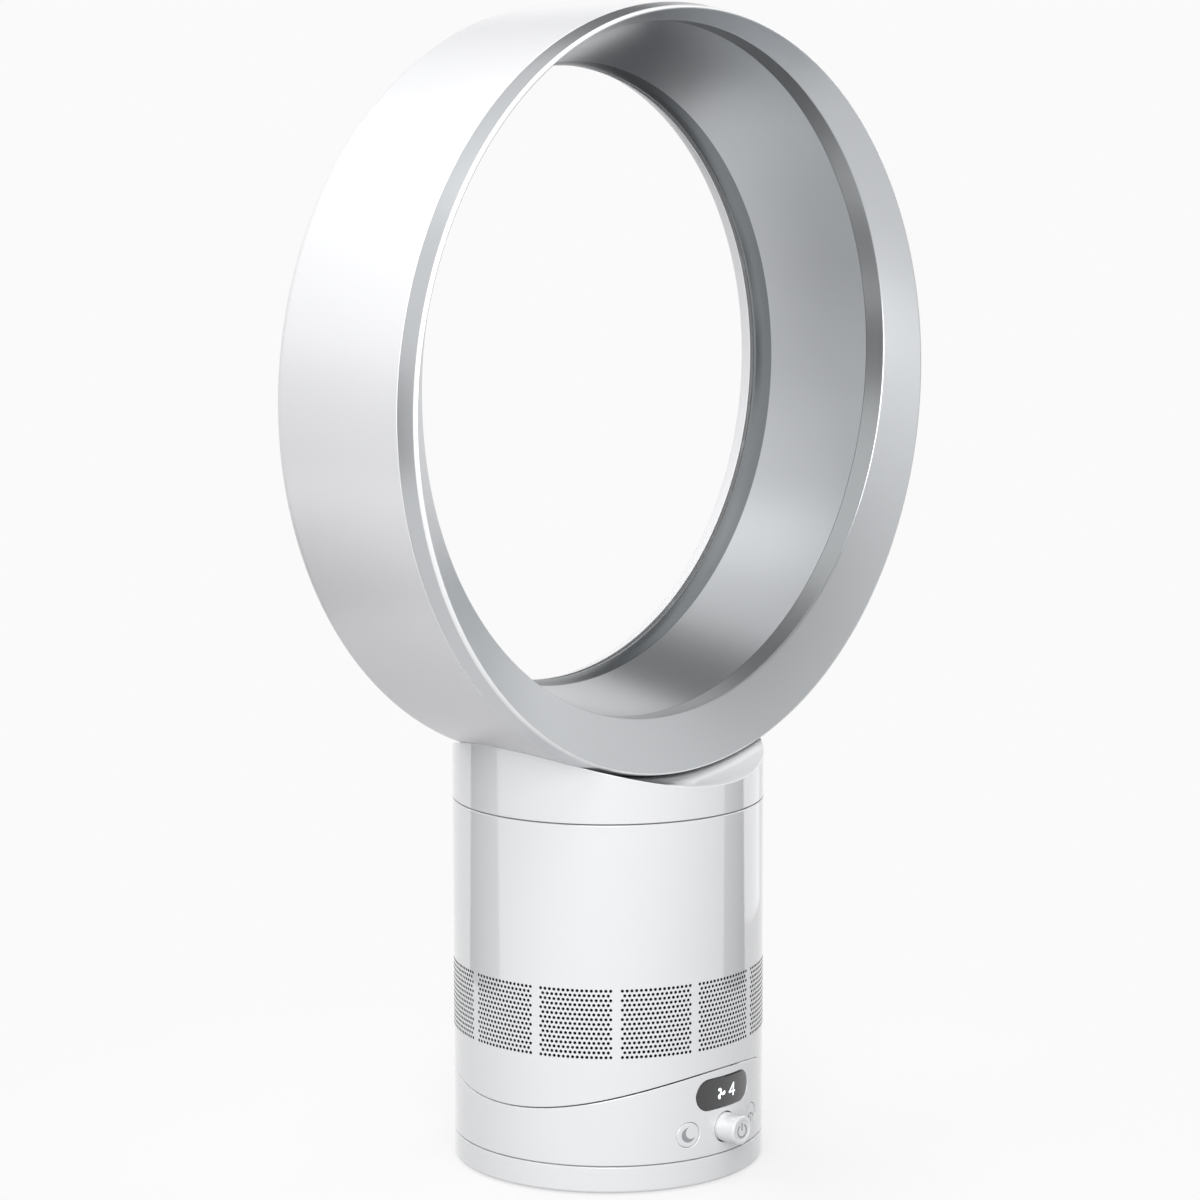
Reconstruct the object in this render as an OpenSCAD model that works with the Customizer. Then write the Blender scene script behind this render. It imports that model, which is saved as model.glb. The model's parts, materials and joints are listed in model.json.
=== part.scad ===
// Bladeless desk fan: a swinging and tilting base under a twist-off air loop.
// The front faces -Y, +Z is up, and the origin is the centre of the rest face.

/* [Overall] */
// Outer diameter of foot, control section, body and neck
body_d = 127; // [122:0.5:132]
// Height of the seam between foot and control section
foot_h = 11.6; // [11:0.1:13]
// Height of the control section at its front, where the wavy seam is highest
control_h = 35.1; // [34.8:0.1:37]
// Height of the body at its front, up to the seam below the neck
tower_h = 103.5; // [101:0.1:108]
// Height from that seam to the lowest point of the loop
neck_h = 13.2; // [12:0.1:16]
// Wall of the plastic casings
wall = 2.2; // [1.8:0.1:2.6]
// Gap that shows between two sections
seam_gap = 0.5; // [0.3:0.1:0.8]
// Chamfer of the sections' edges along the level seams
seam_edge = 0.3; // [0.2:0.1:0.5]
// Rounding of the foot's lower edge
foot_edge_r = 1.2; // [0.8:0.1:2]

/* [Clearances] */
// Radial clearance of a part that turns or slides in its bearing
run_gap = 0.05; // [0.03:0.01:0.1]
// Clearance of parts that are fixed in each other
fit_gap = 0.1; // [0.05:0.01:0.2]
// Clearance of parts that pass each other
free_gap = 0.3; // [0.2:0.05:0.4]

/* [Loop] */
// Outside diameter of the loop at the edge of its front chamfer
loop_d = 306; // [296:1:316]
// Distance from that edge to the fan's middle
loop_front = 34; // [32:0.1:36]
// Distance from the fan's middle to the loop's rear face
loop_back = 34.6; // [33:0.1:37]
// How much the outer wall narrows towards the rear
loop_draft = 1.4; // [0.8:0.1:2]
// Radius of the rear outer corner
loop_corner_r = 6; // [4.5:0.5:7]
// Depth of the front chamfer
chamfer_depth = 7.6; // [6:0.1:9]
// Width of the front chamfer
chamfer_width = 1.2; // [0.8:0.1:1.6]
// Thickness of the lip at the front
lip_t = 1.3; // [1:0.1:1.6]
// Mean width of the flare between the chamfer's edge and the step band
flare_w = 14.9; // [14.4:0.1:17]
// Depth of the flare behind the lip
flare_depth = 10.5; // [9:0.1:12]
// Height of the step band's axis above the loop's axis
step_rise = 7.9; // [6:0.1:8.2]
// Depth of the step band
step_depth = 9; // [7:0.1:11]
// How much the inner wall's radius narrows from the step band to the throat
air_taper = 13.5; // [11:0.1:16]
// Height of the throat's axis above the loop's axis
throat_rise = 3.4; // [2:0.1:5]
// Distance from the throat to the rear face
throat_inset = 8.8; // [8.2:0.1:9.4]
// Radius of the curved surface at the slot
coanda_r = 4; // [3.5:0.1:4.5]
// Width of the air slot
slot_w = 1.3; // [1:0.1:1.6]
// Wall of the inner casing
inner_wall = 2.4; // [2:0.1:2.8]

/* [Seams and tilt] */
// Radius of the wavy seam about the tilt axis
tilt_r = 155; // [150:1:165]
// Tilt to either side, in degrees
tilt_deg = 10; // [8:1:12]
// Thickness of the cradle and of the shoe that slides on it
slide_t = 2.5; // [2.2:0.1:2.8]
// Distance of each runner from the middle
runner_x = 24; // [22:0.5:26]
// Length of a runner
runner_len = 24; // [20:1:28]
// Width of a runner's neck
runner_neck_w = 4; // [3:0.5:5]
// Width of a runner's foot
runner_foot_w = 10; // [8:0.5:11]
// Thickness of a runner's foot
runner_foot_t = 2.2; // [2:0.1:2.4]

/* [Air inlet] */
// Number of perforated panels
panel_count = 12; // [10:1:14]
// Height of the lowest row of holes above the front of the wavy seam
band_low = 10.65; // [10:0.05:14]
// Rows of holes
hole_rows = 5; // [3:1:5]
// Holes in the longer rows of a panel
hole_cols = 6; // [4:1:6]
// Distance between rows
row_pitch = 6.25; // [5:0.05:6.5]
// Diameter of a hole
hole_d = 3.3; // [2.4:0.1:3.6]
// Plain strip between two panels, in degrees
panel_gap_deg = 3; // [2:0.5:4]

/* [Controls] */
// Width of the display window
display_w = 31.4; // [28:0.2:34]
// Height of the display window
display_h = 12.8; // [11:0.2:14]
// Distance of the display from the wavy seam above it
display_gap = 3.2; // [2.4:0.1:4]
// Height of knob and buttons above the foot seam
control_rise = 10.5; // [10:0.1:10.8]
// Diameter of the knob
knob_d = 11.8; // [11:0.2:12.6]
// How far the knob stands out
knob_out = 8.9; // [7:0.1:11]
// Travel of the knob when it is pressed
knob_travel = 1.2; // [0.8:0.1:1.3]
// Diameter of a push button
button_d = 10; // [8:0.2:10.6]
// Distance of each button from the middle
button_x = 19.2; // [18:0.1:21]
// Travel of a push button
button_travel = 1; // [0.6:0.1:1.1]

/* [Oscillation] */
// Teeth of the fixed gear
gear_teeth = 60; // [54:1:60]
// Teeth of the pinion
pinion_teeth = 12; // [12:1:14]
// Gear module
gear_module = 1; // [0.95:0.01:1.02]
// Thickness of the gears
gear_t = 4; // [3:0.1:4.4]
// Outer radius of the hollow spindle
spindle_r = 9; // [8:0.1:10]

/* [Power inlet] */
// Radius of the round inlet's bore
jack_bore_r = 2.75; // [2.6:0.05:2.8]
// Depth of the inlet's bore
jack_bore_len = 9; // [8:0.1:10]

/* [Fan unit] */
// Room between the body's inside and the inside of the duct
duct_room = 13.3; // [12.4:0.1:15]
// Wall of the duct
duct_wall = 2; // [1.6:0.1:2.4]
// How much the shroud widens from the bell mouth to the duct
shroud_w = 14; // [12:0.5:16]
// Radius of the bell mouth's rim
bell_r = 6; // [4:0.5:8]
// Height of the shroud from the bell mouth's rim to the motor's cup
shroud_h = 28; // [26:0.5:30]
// Width of the passage between the motor's cup and the duct
passage_w = 14; // [13:0.5:16]
// Height of the motor's cup
bucket_h = 27; // [26:0.5:29]
// Number of impeller blades
blade_count = 9; // [7:1:11]
// Number of diffuser vanes
vane_count = 11; // [9:1:13]
// Height of the diffuser
vane_h = 20; // [16:0.5:22]
// Thickness of a blade or vane
blade_t = 1.4; // [1.2:0.1:1.8]
// Radius of the motor shaft
shaft_r = 2.5; // [2:0.1:3]

/* [Bayonet] */
// Turn that unlocks the nozzle, in degrees
twist_deg = 15; // [12:1:18]
// Room between the body's inside and the upstanding spigot
spigot_room = 10.3; // [9.8:0.1:10.8]
// Height of the spigot above the seam
spigot_h = 9.3; // [9:0.1:9.8]
// Width of a bayonet lug, in degrees
lug_deg = 10; // [8:1:12]

/* [Hidden] */

$fn = 96;
fine_fn = 180;
cone_fn = 120;
hole_fn = 24;
overrun = 1;
thin = 0.01;
white = "#f4f4f5";
silver = "#c3c7ca";

// Main levels and radii
body_r = body_d / 2;
inside_r = body_r - wall;
insert_r = inside_r - fit_gap;
duct_r = inside_r - duct_room;
inlet_r = duct_r - shroud_w;
bucket_r = duct_r - passage_w;
spigot_r = inside_r - spigot_room;
seam_front_z = foot_h + control_h;
tilt_z = seam_front_z + sqrt(pow(tilt_r, 2) - pow(body_r, 2));
seam_low_z = tilt_z - tilt_r;
top_seam_z = seam_front_z + tower_h;
loop_r = loop_d / 2;
loop_z = top_seam_z + neck_h + loop_r;

// Radii about the tilt axis, from the shoe down to the runners' feet
shoe_low_r = tilt_r - seam_gap / 2;
shoe_top_r = shoe_low_r - slide_t;
cradle_top_r = tilt_r + seam_gap / 2;
cradle_low_r = cradle_top_r + slide_t;
runner_top_r = cradle_low_r + free_gap;
runner_low_r = runner_top_r + runner_foot_t;
slot_half = runner_len / 2 + tilt_r * sin(tilt_deg) + 2 * free_gap;

// Foot, from the rest face up
rubber_t = 1.4;
rubber_edge = 5.3;
rubber_w = 6;
rubber_out_r = inside_r - rubber_edge;
rubber_in_r = rubber_out_r - rubber_w;
foot_lift = 0.8;
shell_lift = 0.6;
plate_t = 2;
plate_top_z = foot_lift + plate_t;
foot_top_z = foot_h - seam_gap / 2;
deck_t = 2.4;
deck_low_z = foot_top_z - deck_t;
rib_count = 8;
rib_t = 1.4;
rib_h = 3;
screw_count = 4;
screw_edge = 8;
screw_pcd_r = rubber_in_r - screw_edge;
screw_r = 1.5;
screw_head_r = 3;
screw_head_h = 1;
screw_len = 6;
recess_w = 0.8;
recess_len = 3;
recess_depth = 0.5;
boss_r = 4;
thrust_edge = 7.3;
thrust_w = 5;
thrust_out_r = inside_r - thrust_edge;
thrust_in_r = thrust_out_r - thrust_w;
thrust_depth = 1;

// Spindle
spindle_wall = 3;
spindle_bore_r = spindle_r - spindle_wall;
flange_w = 6;
flange_t = 2;
flange_r = spindle_r + flange_w;
key_w = 3;
key_out = 1.5;

// Power inlet
jack_w = 9;
jack_len = 12;
jack_collar_t = 0.7;
jack_inset = 0.5;
jack_low_z = foot_lift + plate_t / 2;
jack_z = (deck_low_z + jack_low_z) / 2;
jack_hole_r = jack_bore_r + jack_collar_t;

// Control section, from its floor up
floor_t = 2.2;
ctl_low_z = foot_h + seam_gap / 2;
floor_z = ctl_low_z + floor_t;
boss_t = 4;
boss_h = 1.2;
hub_r = spindle_r + boss_t;
hub_top_z = floor_z + boss_h;
gear_z = hub_top_z + free_gap;
gear_top_z = gear_z + gear_t;
gear_holes = 6;
gear_hole_d = 8.8;
clip_w = 3.5;
clip_t = 1.2;
clip_groove = 0.8;
clip_r = spindle_r + clip_w;
clip_z = gear_top_z + run_gap;
spindle_end = 1;
spindle_top_z = clip_z + clip_t + spindle_end;
ledge_t = 1.5;
ledge_w = 2.5;

// Gears
pressure_deg = 25;
backlash = 0.16;
gear_pitch_r = gear_module * gear_teeth / 2;
pinion_pitch_r = gear_module * pinion_teeth / 2;
pinion_y = gear_pitch_r + pinion_pitch_r;
pinion_shaft_r = 2;

// Oscillation motor on its two posts
motor_r = 13;
motor_lift = 1;
motor_gap = 0.4;
motor_z = gear_top_z + motor_lift;
motor_h = tilt_z - cradle_low_r - motor_gap - motor_z;
motor_bore_depth = 5;
ear_out = 4;
ear_x = motor_r + ear_out;
ear_w = 7;
ear_t = 2;
post_r = 3.5;
motor_screw_r = 1.2;
motor_screw_head_r = 2.4;
motor_screw_head_h = 1.5;
motor_screw_len = 5;

// Brake pads in the cradle
brake_edge = 19.2;
brake_x = insert_r - brake_edge;
brake_w = 8;
brake_len = 16;
brake_floor = 1;

// Display
display_z = seam_z(body_r) - display_gap - display_h / 2;
window_gap = 0.15;
lens_rim = 1.5;
lens_t = 3.4;
lens_back_r = body_r - lens_t;
notch_side = 4;
notch_depth = 9;
notch_x = display_w / 2 + notch_side;
notch_y = inside_r - notch_depth;
segment_w = 20;
segment_inset = 1.9;
segment_h = display_h - 2 * segment_inset;
segment_t = 0.8;
display_board_inset = 1.2;
display_board_t = 1.2;
display_board_x = display_w / 2 - display_board_inset;
display_board_y = sqrt(pow(lens_back_r, 2) - pow(display_board_x, 2)) - fit_gap;
display_board_low_z = display_z - display_h / 2 + display_board_inset;
display_board_top_z = min(display_z + display_h / 2 - display_board_inset,
  seam_z(display_board_y - display_board_t) - free_gap);

// Control board with its switches
control_z = foot_h + control_rise;
board_depth = 8.8;
board_y = inside_r - board_depth;
board_t = 1.6;
board_side = 8.8;
board_x = button_x + board_side;
board_h = 14;
chip_x = board_x / 2;
chip_w = 7;
chip_h = 4.6;
chip_t = 1.6;
switch_w = 6;
switch_t = 1.1;

// Buttons
button_rim = 1;
button_gap = 0.2;
button_back_y = board_y + switch_t + button_travel + button_gap;

// Knob, its plunger and its switch
knob_gap = 0.4;
knob_edge = 0.7;
knob_inset = 0.4;
knob_face_y = body_r + knob_out;
knob_root_y = inside_r - knob_inset;
pin_r = 2;
pin_len = 8;
shoulder_r = 4.5;
shoulder_t = 2;
shoulder_y = knob_root_y - button_gap - shoulder_t;
stem_w = 5;
dial_case_w = 12;
dial_case_t = 4.5;
dial_wall_t = 0.6;
stem_end_y = board_y + dial_wall_t + knob_travel + button_gap;

// Air inlet
band_low_z = seam_front_z + band_low;
panel_deg = 360 / panel_count;
hole_margin_deg = hole_d / body_r * 180 / PI;
hole_step_deg = (panel_deg - panel_gap_deg - hole_margin_deg) / (hole_cols - 1);
foam_edge = 15.3;
foam_r = inside_r - foam_edge;
foam_gap = 0.4;
foam_below = 4;
foam_top_z = band_low_z - foam_below;

// Upper end of the body
body_top_z = top_seam_z - seam_gap / 2;
collar_t = 3.4;
spigot_t = 2.8;
collar_in_r = spigot_r - spigot_t;
duct_top_z = body_top_z - collar_t - free_gap;

// Rubber mount of the fan unit on a ledge of the body
hang_depth = 7.6;
mount_gap = 1.3;
mount_t = 1.9;
mount_w = 5;
duct_flange_t = 2;
duct_flange_in = 2;
duct_flange_z = duct_top_z - hang_depth;
mount_out_r = inside_r - mount_gap;
mount_in_r = mount_out_r - mount_w;
duct_flange_r = mount_out_r - duct_flange_in;
mount_z = duct_flange_z - mount_t - fit_gap;
ledge_top_z = mount_z - fit_gap;
ledge_h = 2.6;
ledge_slope_h = 5;

// Motor in its cup, from the cup's floor up
cup_drop = 45.2;
bucket_low_z = duct_top_z - cup_drop;
bucket_wall = 2;
bucket_in_r = bucket_r - bucket_wall;
bucket_top_z = bucket_low_z + bucket_h;
shaft_hole_gap = 0.6;
bearing_r = 8;
bearing_t = 4;
seat_wall = 2.4;
stator_lift = 7.4;
stator_h = 13.6;
magnet_t = 9.5;
rotor_gap = 0.6;
stator_bore_r = shaft_r + magnet_t + rotor_gap;
stator_z = bucket_low_z + stator_lift;
bridge_lift = 0.8;
bridge_t = 2;
bridge_hole_gap = 2.5;
bridge_z = stator_z + stator_h + bridge_lift;
low_bearing_z = bucket_low_z + bucket_wall + run_gap;
top_bearing_z = bridge_z + bridge_t + run_gap;
shaft_end = 0.6;
shaft_top_z = top_bearing_z + bearing_t + shaft_end;

// Cap of the cup with the driver board and a foam pad
cap_h = 13.6;
cap_edge_r = 5;
cap_crown = 1;
cap_low_z = bucket_top_z + fit_gap;
driver_lift = 2.6;
driver_t = 1.6;
driver_hole_r = 4.5;
driver_chip_w = 4.5;
driver_chip_h = 1.4;
driver_chips = 6;
driver_z = cap_low_z + driver_lift;
cap_foam_h = 5;
cap_foam_edge = 2.5;
cap_foam_r = bucket_in_r - cap_foam_edge;
cap_foam_z = driver_z + driver_t + driver_chip_h + fit_gap;

// Diffuser between cup and duct
vane_lift = 3;
vane_low_z = bucket_low_z + vane_lift;
vane_hoop_t = 1.2;
vane_lean_deg = 55;

// Impeller
bell_z = bucket_low_z - shroud_h - overrun;
shroud_z = bell_z + shroud_h;
nose_drop = 23.4;
hub_gap = 1.2;
hub_rim_in = 2.6;
hub_nose_z = bucket_low_z - nose_drop;
hub_top = bucket_low_z - hub_gap;
hub_out_r = bucket_r - hub_rim_in;
hub_shares = [[0.16, 0], [0.27, 0.04], [0.52, 0.27], [0.76, 0.57], [0.93, 0.81], [1, 1]];
hub_tip_t = 1;
hub_boss_w = 3.5;
hub_skirt_t = 5;
hub_hollow = 4.8;
blade_inset = 3;
blade_top_gap = 0.9;
blade_tip_gap = 0.4;
blade_lean_degs = [-60, -20];
shaft_low_z = hub_nose_z + hub_tip_t + fit_gap;

// Neck
neck_low_z = top_seam_z + seam_gap / 2;
casing_len = loop_back - loop_corner_r + loop_front;
saddle_slope = loop_draft / casing_len;
saddle_t = 2.4;
socket_t = 2.2;
socket_in_r = spigot_r + free_gap;
socket_out_r = socket_in_r + socket_t;
socket_h = spigot_h + free_gap;
web_t = 2.2;
seal_w = 3.4;
seal_t = 1.5;
seal_in_r = (socket_out_r + inside_r - seal_w) / 2;
seal_out_r = seal_in_r + seal_w;
lug_lift = 2.5;
lug_h = 3.4;
lug_depth = 2.4;
lug_low_z = neck_low_z + lug_lift;
lug_degs = [30, 150, 270];
lug_play_deg = 1;

// Loop, outer casing
lip_nose = 1.3;
lip_y = -loop_front - chamfer_depth;
nose_y = lip_y - lip_nose;
rear_y = loop_back;
mouth_side = 10.2;
mouth_x = collar_in_r - mouth_side;
tongue_len = 8;
mouth_margin = 2.6;
mouth_front_y = -loop_front + tongue_len;
mouth_back_y = loop_back - loop_corner_r - mouth_margin;
plate_extra = 0.3;
casing_slope = (loop_draft + plate_extra) / casing_len;

// Loop, inner surfaces
step_r = loop_r - flare_w;
step_z = loop_z + step_rise;
step_y = nose_y + flare_depth;
cone_y = step_y + step_depth;
blend_step = 0.1;
throat_r = step_r - air_taper;
throat_z = loop_z + throat_rise;
throat_y = rear_y - throat_inset;
crest_lead = 6.8;
crest_drop = 1.7;
crest_shares = [0.32, 0.47];
cone_end_y = throat_y - crest_lead;
cone_end_r = throat_r + crest_drop;
// The bore of the slanted cone runs on past both of its ends on the same slope
cone_lead = overrun * (step_r - cone_end_r) / (cone_end_y - cone_y);
cone_slide = overrun * (step_z - throat_z) / (cone_end_y - cone_y);
crest_w = 2.9;
crest_t = 2;
coanda_end_r = throat_r + coanda_r;

// Front trim
trim_wall = 1.6;
trim_floor = 2.2;
nose_shares = [[0.35, 0.25], [0.7, 1]];
flare_edge_share = 0.9;

// Rolled edge behind the slot
rim_w = 6;
rim_overlap = 3;
roll_depth = 7.1;
lip_shares = [[-0.02, 0.04], [0.01, 0.25], [0.1, 0.7], [0.17, 0.92], [0.27, 1], [0.44, 0.96],
  [0.71, 0.79]];
lip_turn_deg = 40;
casing_hole_r = coanda_end_r + rim_w;

// Spacers in the slot
spacer_count = 10;
spacer_w = 6;
spacer_in = 0.4;

// Points of an arc, angles in degrees
function arc(c, r, a0, a1, n) =
  [for (i = [0:n]) c + r * [cos(a0 + (a1 - a0) * i / n), sin(a0 + (a1 - a0) * i / n)]];
function reversed(v) = [for (i = [len(v) - 1:-1:0]) v[i]];
function sum_to(v, n) = n <= 0 ? 0 : v[n - 1] + sum_to(v, n - 1);

// Height of the wavy seam's lower edge at the given distance from the middle
function seam_z(y) = tilt_z - sqrt(pow(cradle_top_r, 2) - pow(y, 2));

// Solids about the three axes of the fan

module ring(r_in, r_out, z, h) {
  translate([0, 0, z]) difference() {
    cylinder(r = r_out, h = h);
    translate([0, 0, -overrun]) cylinder(r = r_in, h = h + 2 * overrun);
  }
}

module around(count, first = 0) {
  for (i = [0:count - 1]) rotate([0, 0, first + i * 360 / count]) children();
}

// Outer form of a section between two levels, its edges chamfered
module section_form(z0, z1, edge0, edge1) {
  rotate_extrude() polygon([[0, z0], [body_r - edge0, z0], [body_r, z0 + edge0],
    [body_r, z1 - edge1], [body_r - edge1, z1], [0, z1]]);
}

module about_tilt(r, half = body_d) {
  translate([-half, 0, tilt_z]) rotate([0, 90, 0]) cylinder(r = r, h = 2 * half, $fn = fine_fn);
}

// Part of what is given that lies between two radii about the tilt axis
module tilt_layer(r_in, r_out) {
  intersection() {
    children();
    difference() {
      about_tilt(r_out);
      about_tilt(r_in, body_d + overrun);
    }
  }
}

module about_loop(z) {
  translate([0, 0, z]) rotate([-90, 0, 0]) children();
}

module loop_disc(r, y0, y1, z) {
  about_loop(z) translate([0, 0, y0]) cylinder(r = r, h = y1 - y0, $fn = fine_fn);
}

// Slanted cone between two circles whose middles lie at different heights
module slanted_cone(r0, y0, z0, r1, y1, z1) {
  hull() {
    about_loop(z0) translate([0, 0, y0 - thin]) cylinder(r = r0, h = thin, $fn = cone_fn);
    about_loop(z1) translate([0, 0, y1]) cylinder(r = r1, h = thin, $fn = cone_fn);
  }
}

// Cone that runs along the loop's outer wall, grown by the given distance
module saddle(grow) {
  about_loop(loop_z) translate([0, 0, -body_d]) cylinder(h = 2 * body_d, $fn = fine_fn,
    r1 = loop_r + grow + saddle_slope * (body_d - loop_front),
    r2 = loop_r + grow - saddle_slope * (body_d + loop_front));
}

module block(x, y0, y1, z0, z1) {
  translate([-x, y0, z0]) cube([2 * x, y1 - y0, z1 - z0]);
}

// Cylinder that points to the front, between two distances from the middle
module front_pin(r, y0, y1, x = 0, z = control_z) {
  translate([x, -y0, z]) rotate([90, 0, 0]) cylinder(r = r, h = y1 - y0);
}

// Pill-shaped bar that points to the front
module front_pill(w, h, y0, y1, z) {
  translate([0, -y0, z]) rotate([90, 0, 0]) linear_extrude(y1 - y0) union() {
    square([w - h, h], center = true);
    for (s = [-1, 1]) translate([s * (w - h) / 2, 0]) circle(d = h);
  }
}

// Sector of a ring between two angles
module sector(r_in, r_out, z, h, from_deg, to_deg) {
  intersection() {
    ring(r_in, r_out, z, h);
    translate([0, 0, z]) linear_extrude(h) polygon([[0, 0],
      2 * r_out * [cos(from_deg), sin(from_deg)], 2 * r_out * [cos(to_deg), sin(to_deg)]]);
  }
}

// Involute spur gear with backlash, one tooth on the X axis

function involute(base_r, a) =
  base_r * [cos(a) + a * PI / 180 * sin(a), sin(a) - a * PI / 180 * cos(a)];
function turned(p, a) = [p.x * cos(a) - p.y * sin(a), p.x * sin(a) + p.y * cos(a)];
function roll_deg(base_r, r) = sqrt(max(0, pow(r / base_r, 2) - 1)) * 180 / PI;
function flank_deg(base_r, r) = roll_deg(base_r, r) - atan(roll_deg(base_r, r) * PI / 180);

module spur_gear(teeth, h, clearance_share = 0.25, flank_steps = 4) {
  pitch_r = gear_module * teeth / 2;
  base_r = pitch_r * cos(pressure_deg);
  tip_r = pitch_r + gear_module;
  root_r = pitch_r - gear_module * (1 + clearance_share);
  start_r = max(base_r, root_r);
  half_deg = 90 / teeth + flank_deg(base_r, pitch_r) - backlash / 2 / pitch_r * 180 / PI;
  flank = [for (i = [0:flank_steps])
    let (a = roll_deg(base_r, start_r + (tip_r - start_r) * i / flank_steps))
      turned(involute(base_r, a), -half_deg)];
  root = root_r < base_r ? [turned([root_r, 0], -half_deg)] : [];
  side = concat(root, flank);
  tooth = concat(side, [for (p = reversed(side)) [p.x, -p.y]]);
  outline = [for (t = [0:teeth - 1]) for (p = tooth) turned(p, t * 360 / teeth)];
  linear_extrude(h) polygon(outline);
}

// Curved sheet across the radius whose lean changes steadily from its lower to its upper edge
module vane(lean0, lean1, h, r0, r1, steps = 6) {
  rise = h / steps;
  lean = [for (i = [0:steps]) lean0 + (lean1 - lean0) * i / steps];
  run = [for (a = lean) tan(a) * rise];
  side = [for (i = [0:steps]) [sum_to(run, i) - sum_to(run, steps) / 2, i * rise]];
  half = [for (a = lean) [blade_t / 2 / cos(a), 0]];
  translate([0, -r0, 0]) rotate([90, 0, 0]) linear_extrude(r1 - r0)
    polygon(concat(side - half, reversed(side + half)));
}

// Fixed foot

module foot_shell() {
  color(white) difference() {
    rotate_extrude() polygon(concat([[0, shell_lift]],
      arc([body_r - foot_edge_r, shell_lift + foot_edge_r], foot_edge_r, -90, 0, 4),
      [[body_r, foot_top_z - seam_edge], [body_r - seam_edge, foot_top_z], [0, foot_top_z]]));
    difference() {
      translate([0, 0, -overrun]) cylinder(r = inside_r, h = deck_low_z + overrun);
      around(screw_count, 45) translate([screw_pcd_r, 0, plate_top_z + fit_gap])
        cylinder(r = boss_r, h = foot_h);
      around(rib_count, 180 / rib_count) translate([0, -rib_t / 2, deck_low_z - rib_h])
        cube([body_r, rib_t, rib_h + deck_t / 2]);
    }
    translate([0, 0, -overrun]) cylinder(r = flange_r + free_gap, h = deck_low_z + overrun);
    around(screw_count, 45) translate([screw_pcd_r, 0, 0])
      cylinder(r = screw_r + run_gap, h = deck_low_z - fit_gap);
    translate([0, 0, -overrun]) cylinder(r = spindle_r + fit_gap, h = foot_h + overrun);
    ring(thrust_in_r - fit_gap, thrust_out_r + fit_gap, foot_top_z - thrust_depth, foot_h);
    translate([0, inside_r - overrun, jack_z]) rotate([-90, 0, 0])
      cylinder(r = jack_hole_r, h = wall + 2 * overrun);
  }
}

module rubber_foot() {
  color("dimgray") ring(rubber_in_r, rubber_out_r, 0, rubber_t);
}

module base_plate() {
  color("gainsboro") difference() {
    translate([0, 0, foot_lift]) cylinder(r = insert_r, h = plate_t);
    ring(rubber_in_r - fit_gap, rubber_out_r + fit_gap, -overrun, rubber_t + overrun);
    around(screw_count, 45) translate([screw_pcd_r, 0, 0]) {
      cylinder(r = screw_r + fit_gap, h = foot_h);
      cylinder(r = screw_head_r + fit_gap, h = foot_lift + screw_head_h);
    }
    block(jack_w / 2 + free_gap, inside_r - jack_len - 2 * free_gap, body_r, 0, foot_h);
  }
}

module base_screws() {
  color("silver") around(screw_count, 45) translate([screw_pcd_r, 0, foot_lift]) difference() {
    union() {
      cylinder(r = screw_head_r, h = screw_head_h);
      cylinder(r = screw_r, h = screw_len);
    }
    around(2) translate([-recess_len / 2, -recess_w / 2, -overrun])
      cube([recess_len, recess_w, overrun + recess_depth]);
  }
}

module pivot_spindle() {
  color("lightsteelblue") difference() {
    union() {
      translate([0, 0, deck_low_z - flange_t]) cylinder(r = flange_r, h = flange_t);
      translate([0, 0, deck_low_z - flange_t])
        cylinder(r = spindle_r, h = spindle_top_z - deck_low_z + flange_t);
      translate([0, -key_w / 2, gear_z]) cube([spindle_r + key_out, key_w, gear_t]);
    }
    cylinder(r = spindle_bore_r, h = spindle_top_z + overrun);
    ring(spindle_r - clip_groove, spindle_r + overrun, clip_z - run_gap, clip_t + 2 * run_gap);
  }
}

module oscillation_gear() {
  color("ivory") difference() {
    translate([0, 0, gear_z]) rotate([0, 0, 90]) spur_gear(gear_teeth, gear_t);
    translate([0, 0, gear_z - overrun])
      cylinder(r = spindle_r + fit_gap, h = gear_t + 2 * overrun);
    translate([0, -key_w / 2 - fit_gap, gear_z - overrun])
      cube([spindle_r + key_out + fit_gap, key_w + 2 * fit_gap, gear_t + 2 * overrun]);
    around(gear_holes, 180 / gear_holes)
      translate([(clip_r + gear_pitch_r) / 2, 0, gear_z - overrun])
        cylinder(d = gear_hole_d, h = gear_t + 2 * overrun);
  }
}

module spindle_clip() {
  color("dimgray") difference() {
    ring(spindle_r - clip_groove + run_gap, clip_r, clip_z, clip_t);
    translate([0, -spindle_r / 2, clip_z - overrun])
      cube([2 * clip_r, spindle_r, clip_t + 2 * overrun]);
  }
}

module thrust_ring() {
  color("beige") ring(thrust_in_r, thrust_out_r, foot_top_z - thrust_depth,
    thrust_depth + seam_gap - 2 * run_gap);
}

module power_jack() {
  face_y = body_r - jack_inset;
  color("dimgray") difference() {
    union() {
      block(jack_w / 2, inside_r - jack_len, inside_r - jack_inset, jack_low_z, deck_low_z);
      translate([0, inside_r - jack_len, jack_z]) rotate([-90, 0, 0])
        cylinder(r = jack_hole_r - fit_gap, h = face_y - inside_r + jack_len);
    }
    translate([0, face_y - jack_bore_len, jack_z]) rotate([-90, 0, 0])
      cylinder(r = jack_bore_r, h = jack_bore_len + overrun);
  }
}

// Control section

module housing_windows() {
  front_pill(display_w + 2 * window_gap, display_h + 2 * window_gap, notch_y, body_r + overrun,
    display_z);
  front_pin(knob_d / 2 + knob_gap, notch_y, body_r + overrun);
  for (s = [-1, 1])
    front_pin(button_d / 2 + button_gap, board_y, body_r + overrun, s * button_x);
}

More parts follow.
